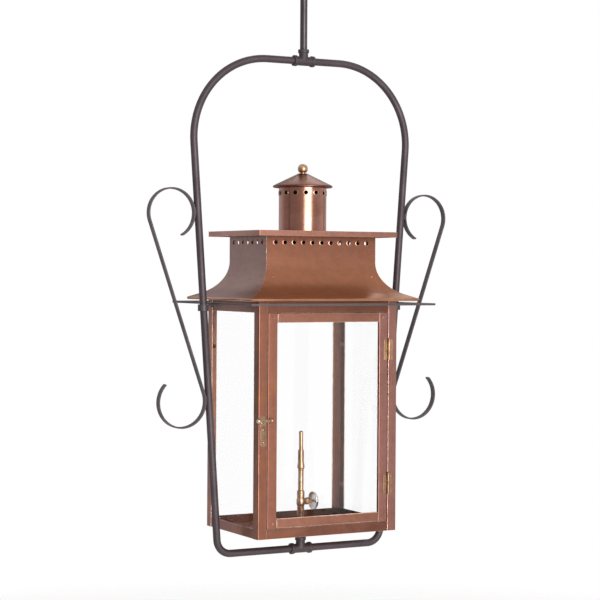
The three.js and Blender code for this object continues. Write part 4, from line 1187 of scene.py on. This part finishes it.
def add_valve():
    low, high = span("valve_body")
    body = [(0, low.z), (6.0, low.z), (7.2, low.z + 1.2), (7.7, low.z + 3.2), (8, low.z + 4.6),
            (8, high.z - 4), (7.3, high.z - 2), (6.9, high.z), (0, high.z)]
    boss = [(0, 0), (5.6, 0), (5.6, 7.5), (5.0, 8.4), (5.0, 9.6), (0, 9.6)]
    barrel = fused(lathe(body, 40), on_stem(lathe(boss, 32)))
    stand_for("valve_body", cut(barrel, on_stem(rod(2.5, 4, 14))), BRASS_BRIGHT, 0.3)
    nut = lathe([(2.5, 9.8), (6.4, 9.8), (6.8, 10.6), (6.8, 15.4), (6.2, 16.4), (4.6, 17.2), (4.6, 20.4),
                 (4.0, 21), (2.5, 21)], 6)
    stand_for("packing_nut", on_stem(nut), BRASS_BRIGHT, 0.25, 25)
    stem = [(0, 5), (2.2, 5), (2.2, 31.1), (3.6, 31.1), (3.6, 32.4), (2.6, 33.8), (0, 34)]
    stand_for("valve_stem", on_stem(lathe(stem, 28)), BRASS_BRIGHT, 0.1)


def add_handwheel():
    """A dished wheel with a rolled, scalloped rim, hollow towards the valve."""
    sides, lobes, lobe_depth = 96, 12, 0.035
    smooth, rim = 12, 17.5
    profile = [
        (2.5, 28), (4.4, 28), (4.4, 29.6), (9, 29.6), (13.2, 29.4), (15.2, 27.6), (16.3, 25.4), (16.7, 25),
        (17.3, 25.2), (17.5, 26), (17.1, 27.6), (15.8, 29.6), (13.8, 30.9), (9, 31), (2.5, 31),
    ]
    points, faces = lathe(profile, sides)
    shaped = []
    for x, y, z in points:
        radius = sqrt(x * x + y * y)
        share = max(0.0, (radius - smooth) / (rim - smooth))
        scale = 1 - lobe_depth * share * (0.5 - 0.5 * cos(lobes * atan2(y, x)))
        shaped.append((x * scale, y * scale, z))
    stand_for("valve_handwheel", on_stem((shaped, faces)), STEEL, 0)


def knurled(radius, start, end, ridges=30, rows=16):
    """A straight-sided sleeve whose surface is cut with crossed ridges."""
    sides, ease, depth = ridges * 2, 0.6, 0.45
    profile = [(0, start), (radius - 0.5, start), (radius, start + ease)]
    profile += [(radius, start + ease + (end - start - 2 * ease) * i / rows) for i in range(1, rows)]
    profile += [(radius, end - ease), (radius - 0.5, end), (0, end)]
    points, faces = lathe(profile, sides)
    shaped = []
    for x, y, z in points:
        inside = start + 1 < z < end - 1 and sqrt(x * x + y * y) > radius - 0.1
        step = round((z - start) / (end - start) * rows) + round(atan2(y, x) / (2 * pi) * sides)
        scale = (radius - depth) / radius if inside and step % 2 else 1
        shaped.append((x * scale, y * scale, z))
    return shaped, faces


def add_burner_tube():
    low, high = span("burner_tube")
    tube = [(0, low.z), (6.5, low.z), (7.1, low.z + 0.7), (7.1, 68.8), (6.5, 70), (5.1, 71.4),
            (5.1, high.z - 0.4), (4.7, high.z), (0, high.z)]
    turned("burner_tube", tube, BRASS_BRIGHT, 48)
    low, high = span("mixer_nut")
    nut = [(0, low.z), (5.4, low.z), (5.6, low.z + 3.4), (6.6, low.z + 4.4), (6.9, low.z + 7.5),
           (6.6, low.z + 10), (5.9, high.z - 3), (5.9, high.z - 0.6), (5.3, high.z), (0, high.z)]
    turned("mixer_nut", nut, BRASS_BRIGHT, 40)
    low, high = span("mixer_sleeve")
    stand_for("mixer_sleeve", knurled(5.5, low.z, high.z), BRASS_BRIGHT, 0)
    low, high = span("burner_tip")
    neck, ball = 3.8, 4.3
    tip = [(0, low.z), (neck - 0.4, low.z), (neck, low.z + 0.4), (neck, high.z - 2 * ball + 1),
           *arc(0, high.z - ball, ball, -0.5, 1.18, 7), (0, high.z)]
    turned("burner_tip", tip, BRASS_BRIGHT, 36)


# --- ceiling fitting

def add_ceiling():
    """The screwed flange, the canopy and its collar, and the rod that hangs from them."""
    up, bore = -UNDERSIDE, PIPE_HOLE
    flange = lathe([(bore, up - 18), (13, up - 18), (14, up - 17), (14, up - 6.4), (15.4, up - 5),
                    (39, up - 5), (40, up - 4), (40, up), (bore, up)], 64)
    drill = moved(rod(2.6, up - 12, up + 4, 20), 29)
    drills = [spun(drill, "Z", (2 * i + 1) * pi / 4) for i in range(4)]
    stand_for("ceiling_flange", cut(flange, joined(*drills)), BRONZE_BAR, 0.3)
    width, depth, sheet = 62 - bore, 27, 1.2
    bowl = [(bore + width * x, up - depth * z) for x, z in arc(0, 0, 1, 0, pi / 2, 20)]
    width, depth = width - sheet, depth - sheet
    bowl += [(bore + width * x, up - depth * z) for x, z in arc(0, 0, 1, pi / 2, 0, 20)]
    turned("ceiling_canopy", bowl, BRONZE_BAR, 96, 0.2, 60)
    low, high = span("canopy_collar")
    collar = [(bore, low.z), *arc(11.3, low.z + 1.2, 1.2, -pi / 2, 0, 4), (12.5, high.z - 3),
              (11.6, high.z - 2), (11.6, high.z), (bore, high.z)]
    turned("canopy_collar", collar, BRONZE_BAR, 48)
    screw = moved(along(slotted_screw(2.2, 1.0), "x"), 12.3, 0, (low.z + high.z) / 2 - 1)
    add_trim("canopy_collar_screw", screw, BRONZE_ROD, "canopy_collar")
    low, high = span("down_rod")
    tube = [(PIPE_BORE, low.z), (PIPE_RADIUS, low.z), (PIPE_RADIUS, high.z), (PIPE_BORE, high.z)]
    turned("down_rod", tube, BRONZE_ROD, 40, 0.3)


# --- studio

def add_floor():
    """A pale floor below the lantern that fades out at its rim."""
    radius, sides, below = 2.4, 96, 0.45
    material, tree = new_material("studio_floor")
    coordinates = add_node(tree, "TexCoord").outputs["Object"]
    reach = add_node(tree, "VectorMath", {"Vector": coordinates}, operation="LENGTH").outputs["Value"]
    shown = remap(tree, reach, 1.2, 2.3, 1.0, 0.0)
    shaded(material, {"Base Color": (0.93, 0.93, 0.92), "Roughness": 0.75, "Alpha": shown})
    mesh = bpy.data.meshes.new("studio_floor")
    mesh.from_pydata([(x, y, 0) for x, y in circle(radius, sides)], [], [tuple(range(sides))])
    mesh.materials.append(material)
    floor_object = bpy.data.objects.new("studio_floor", mesh)
    floor_object.location = (0, 0, cad_low.z - below)
    COLLECTION.link(floor_object)


def add_softbox(name, azimuth, elevation, distance, width, height, power, color=(1, 1, 1)):
    data = bpy.data.lights.new(name, "AREA")
    data.shape = "RECTANGLE"
    data.size, data.size_y = width, height
    data.energy = power
    data.color = color
    lamp = bpy.data.objects.new(name, data)
    a, e = radians(azimuth), radians(elevation)
    back = Vector((sin(a) * cos(e), -cos(a) * cos(e), sin(e)))
    target = Vector((0, 0, (UNDERSIDE + 330) * MM))
    lamp.location = target + back * distance
    lamp.rotation_euler = (-back).to_track_quat("-Z", "Y").to_euler()
    lamp.visible_camera = False
    COLLECTION.link(lamp)


# How bright the room is all the way round, by degrees from straight in front towards the right.
ROOM = [
    (-180, (0.66, 0.66, 0.74)), (-165, (0.74, 0.78, 0.88)), (-145, (0.70, 0.76, 0.88)),
    (-125, (0.40, 0.40, 0.44)), (-60, (0.42, 0.41, 0.44)), (-35, (0.50, 0.49, 0.50)),
    (10, (0.46, 0.46, 0.49)), (40, (0.54, 0.55, 0.60)), (85, (0.90, 0.90, 0.94)),
    (125, (0.66, 0.64, 0.66)), (150, (0.42, 0.40, 0.44)), (168, (0.34, 0.32, 0.38)), (180, (0.66, 0.66, 0.74)),
]
ROOM_TOP = (0.86, 0.82, 0.80)
ROOM_FLOOR = (0.55, 0.53, 0.53)


def add_world():
    """White to the camera; the room by direction lights the lantern."""
    world = bpy.data.worlds.new("studio")
    bpy.context.scene.world = world
    world.use_nodes = True
    tree = world.node_tree
    background = tree.nodes["Background"]
    split = add_node(tree, "SeparateXYZ", {"Vector": add_node(tree, "TexCoord").outputs["Generated"]})
    azimuth = calc(tree, "ARCTAN2", split.outputs["X"], calc(tree, "MULTIPLY", split.outputs["Y"], -1))
    around = ramp(tree, remap(tree, azimuth, -pi, pi, 0, 1), *[((a + 180) / 360, tone) for a, tone in ROOM])
    room = mix(tree, remap(tree, split.outputs["Z"], 0.40, 0.62, 0, 1), around, ROOM_TOP)
    room = mix(tree, remap(tree, split.outputs["Z"], -0.1, -0.4, 0, 1), room, ROOM_FLOOR)
    path = add_node(tree, "LightPath")
    seen = calc(tree, "MAXIMUM", path.outputs["Is Camera Ray"], path.outputs["Is Transmission Ray"])
    feed(tree, background.inputs["Color"], mix(tree, seen, room, (1.0, 1.0, 1.0)))
    feed(tree, background.inputs["Strength"], 1.0)


def add_studio():
    add_world()
    add_floor()
    add_softbox("key_softbox", -2, 4, 5.2, 2.9, 4.0, 300, (1.0, 0.99, 1.0))
    add_softbox("back_softbox", 145, 42, 3.0, 1.2, 0.8, 5)
    bpy.context.scene.view_settings.view_transform = "Standard"


# --- the whole lantern

add_camera()
add_studio()
add_posts()
add_base_pan()
add_headers()
add_glass()
add_pane_clips()
add_door_stop()
add_door()
add_hinges()
add_latch()
add_roof()
add_cap_plate()
add_chimney()
add_chimney_cap()
add_yoke_tubes()
add_tees()
add_scrolls()
add_rest()
add_clips()
add_supply()
add_valve()
add_handwheel()
add_burner_tube()
add_ceiling()
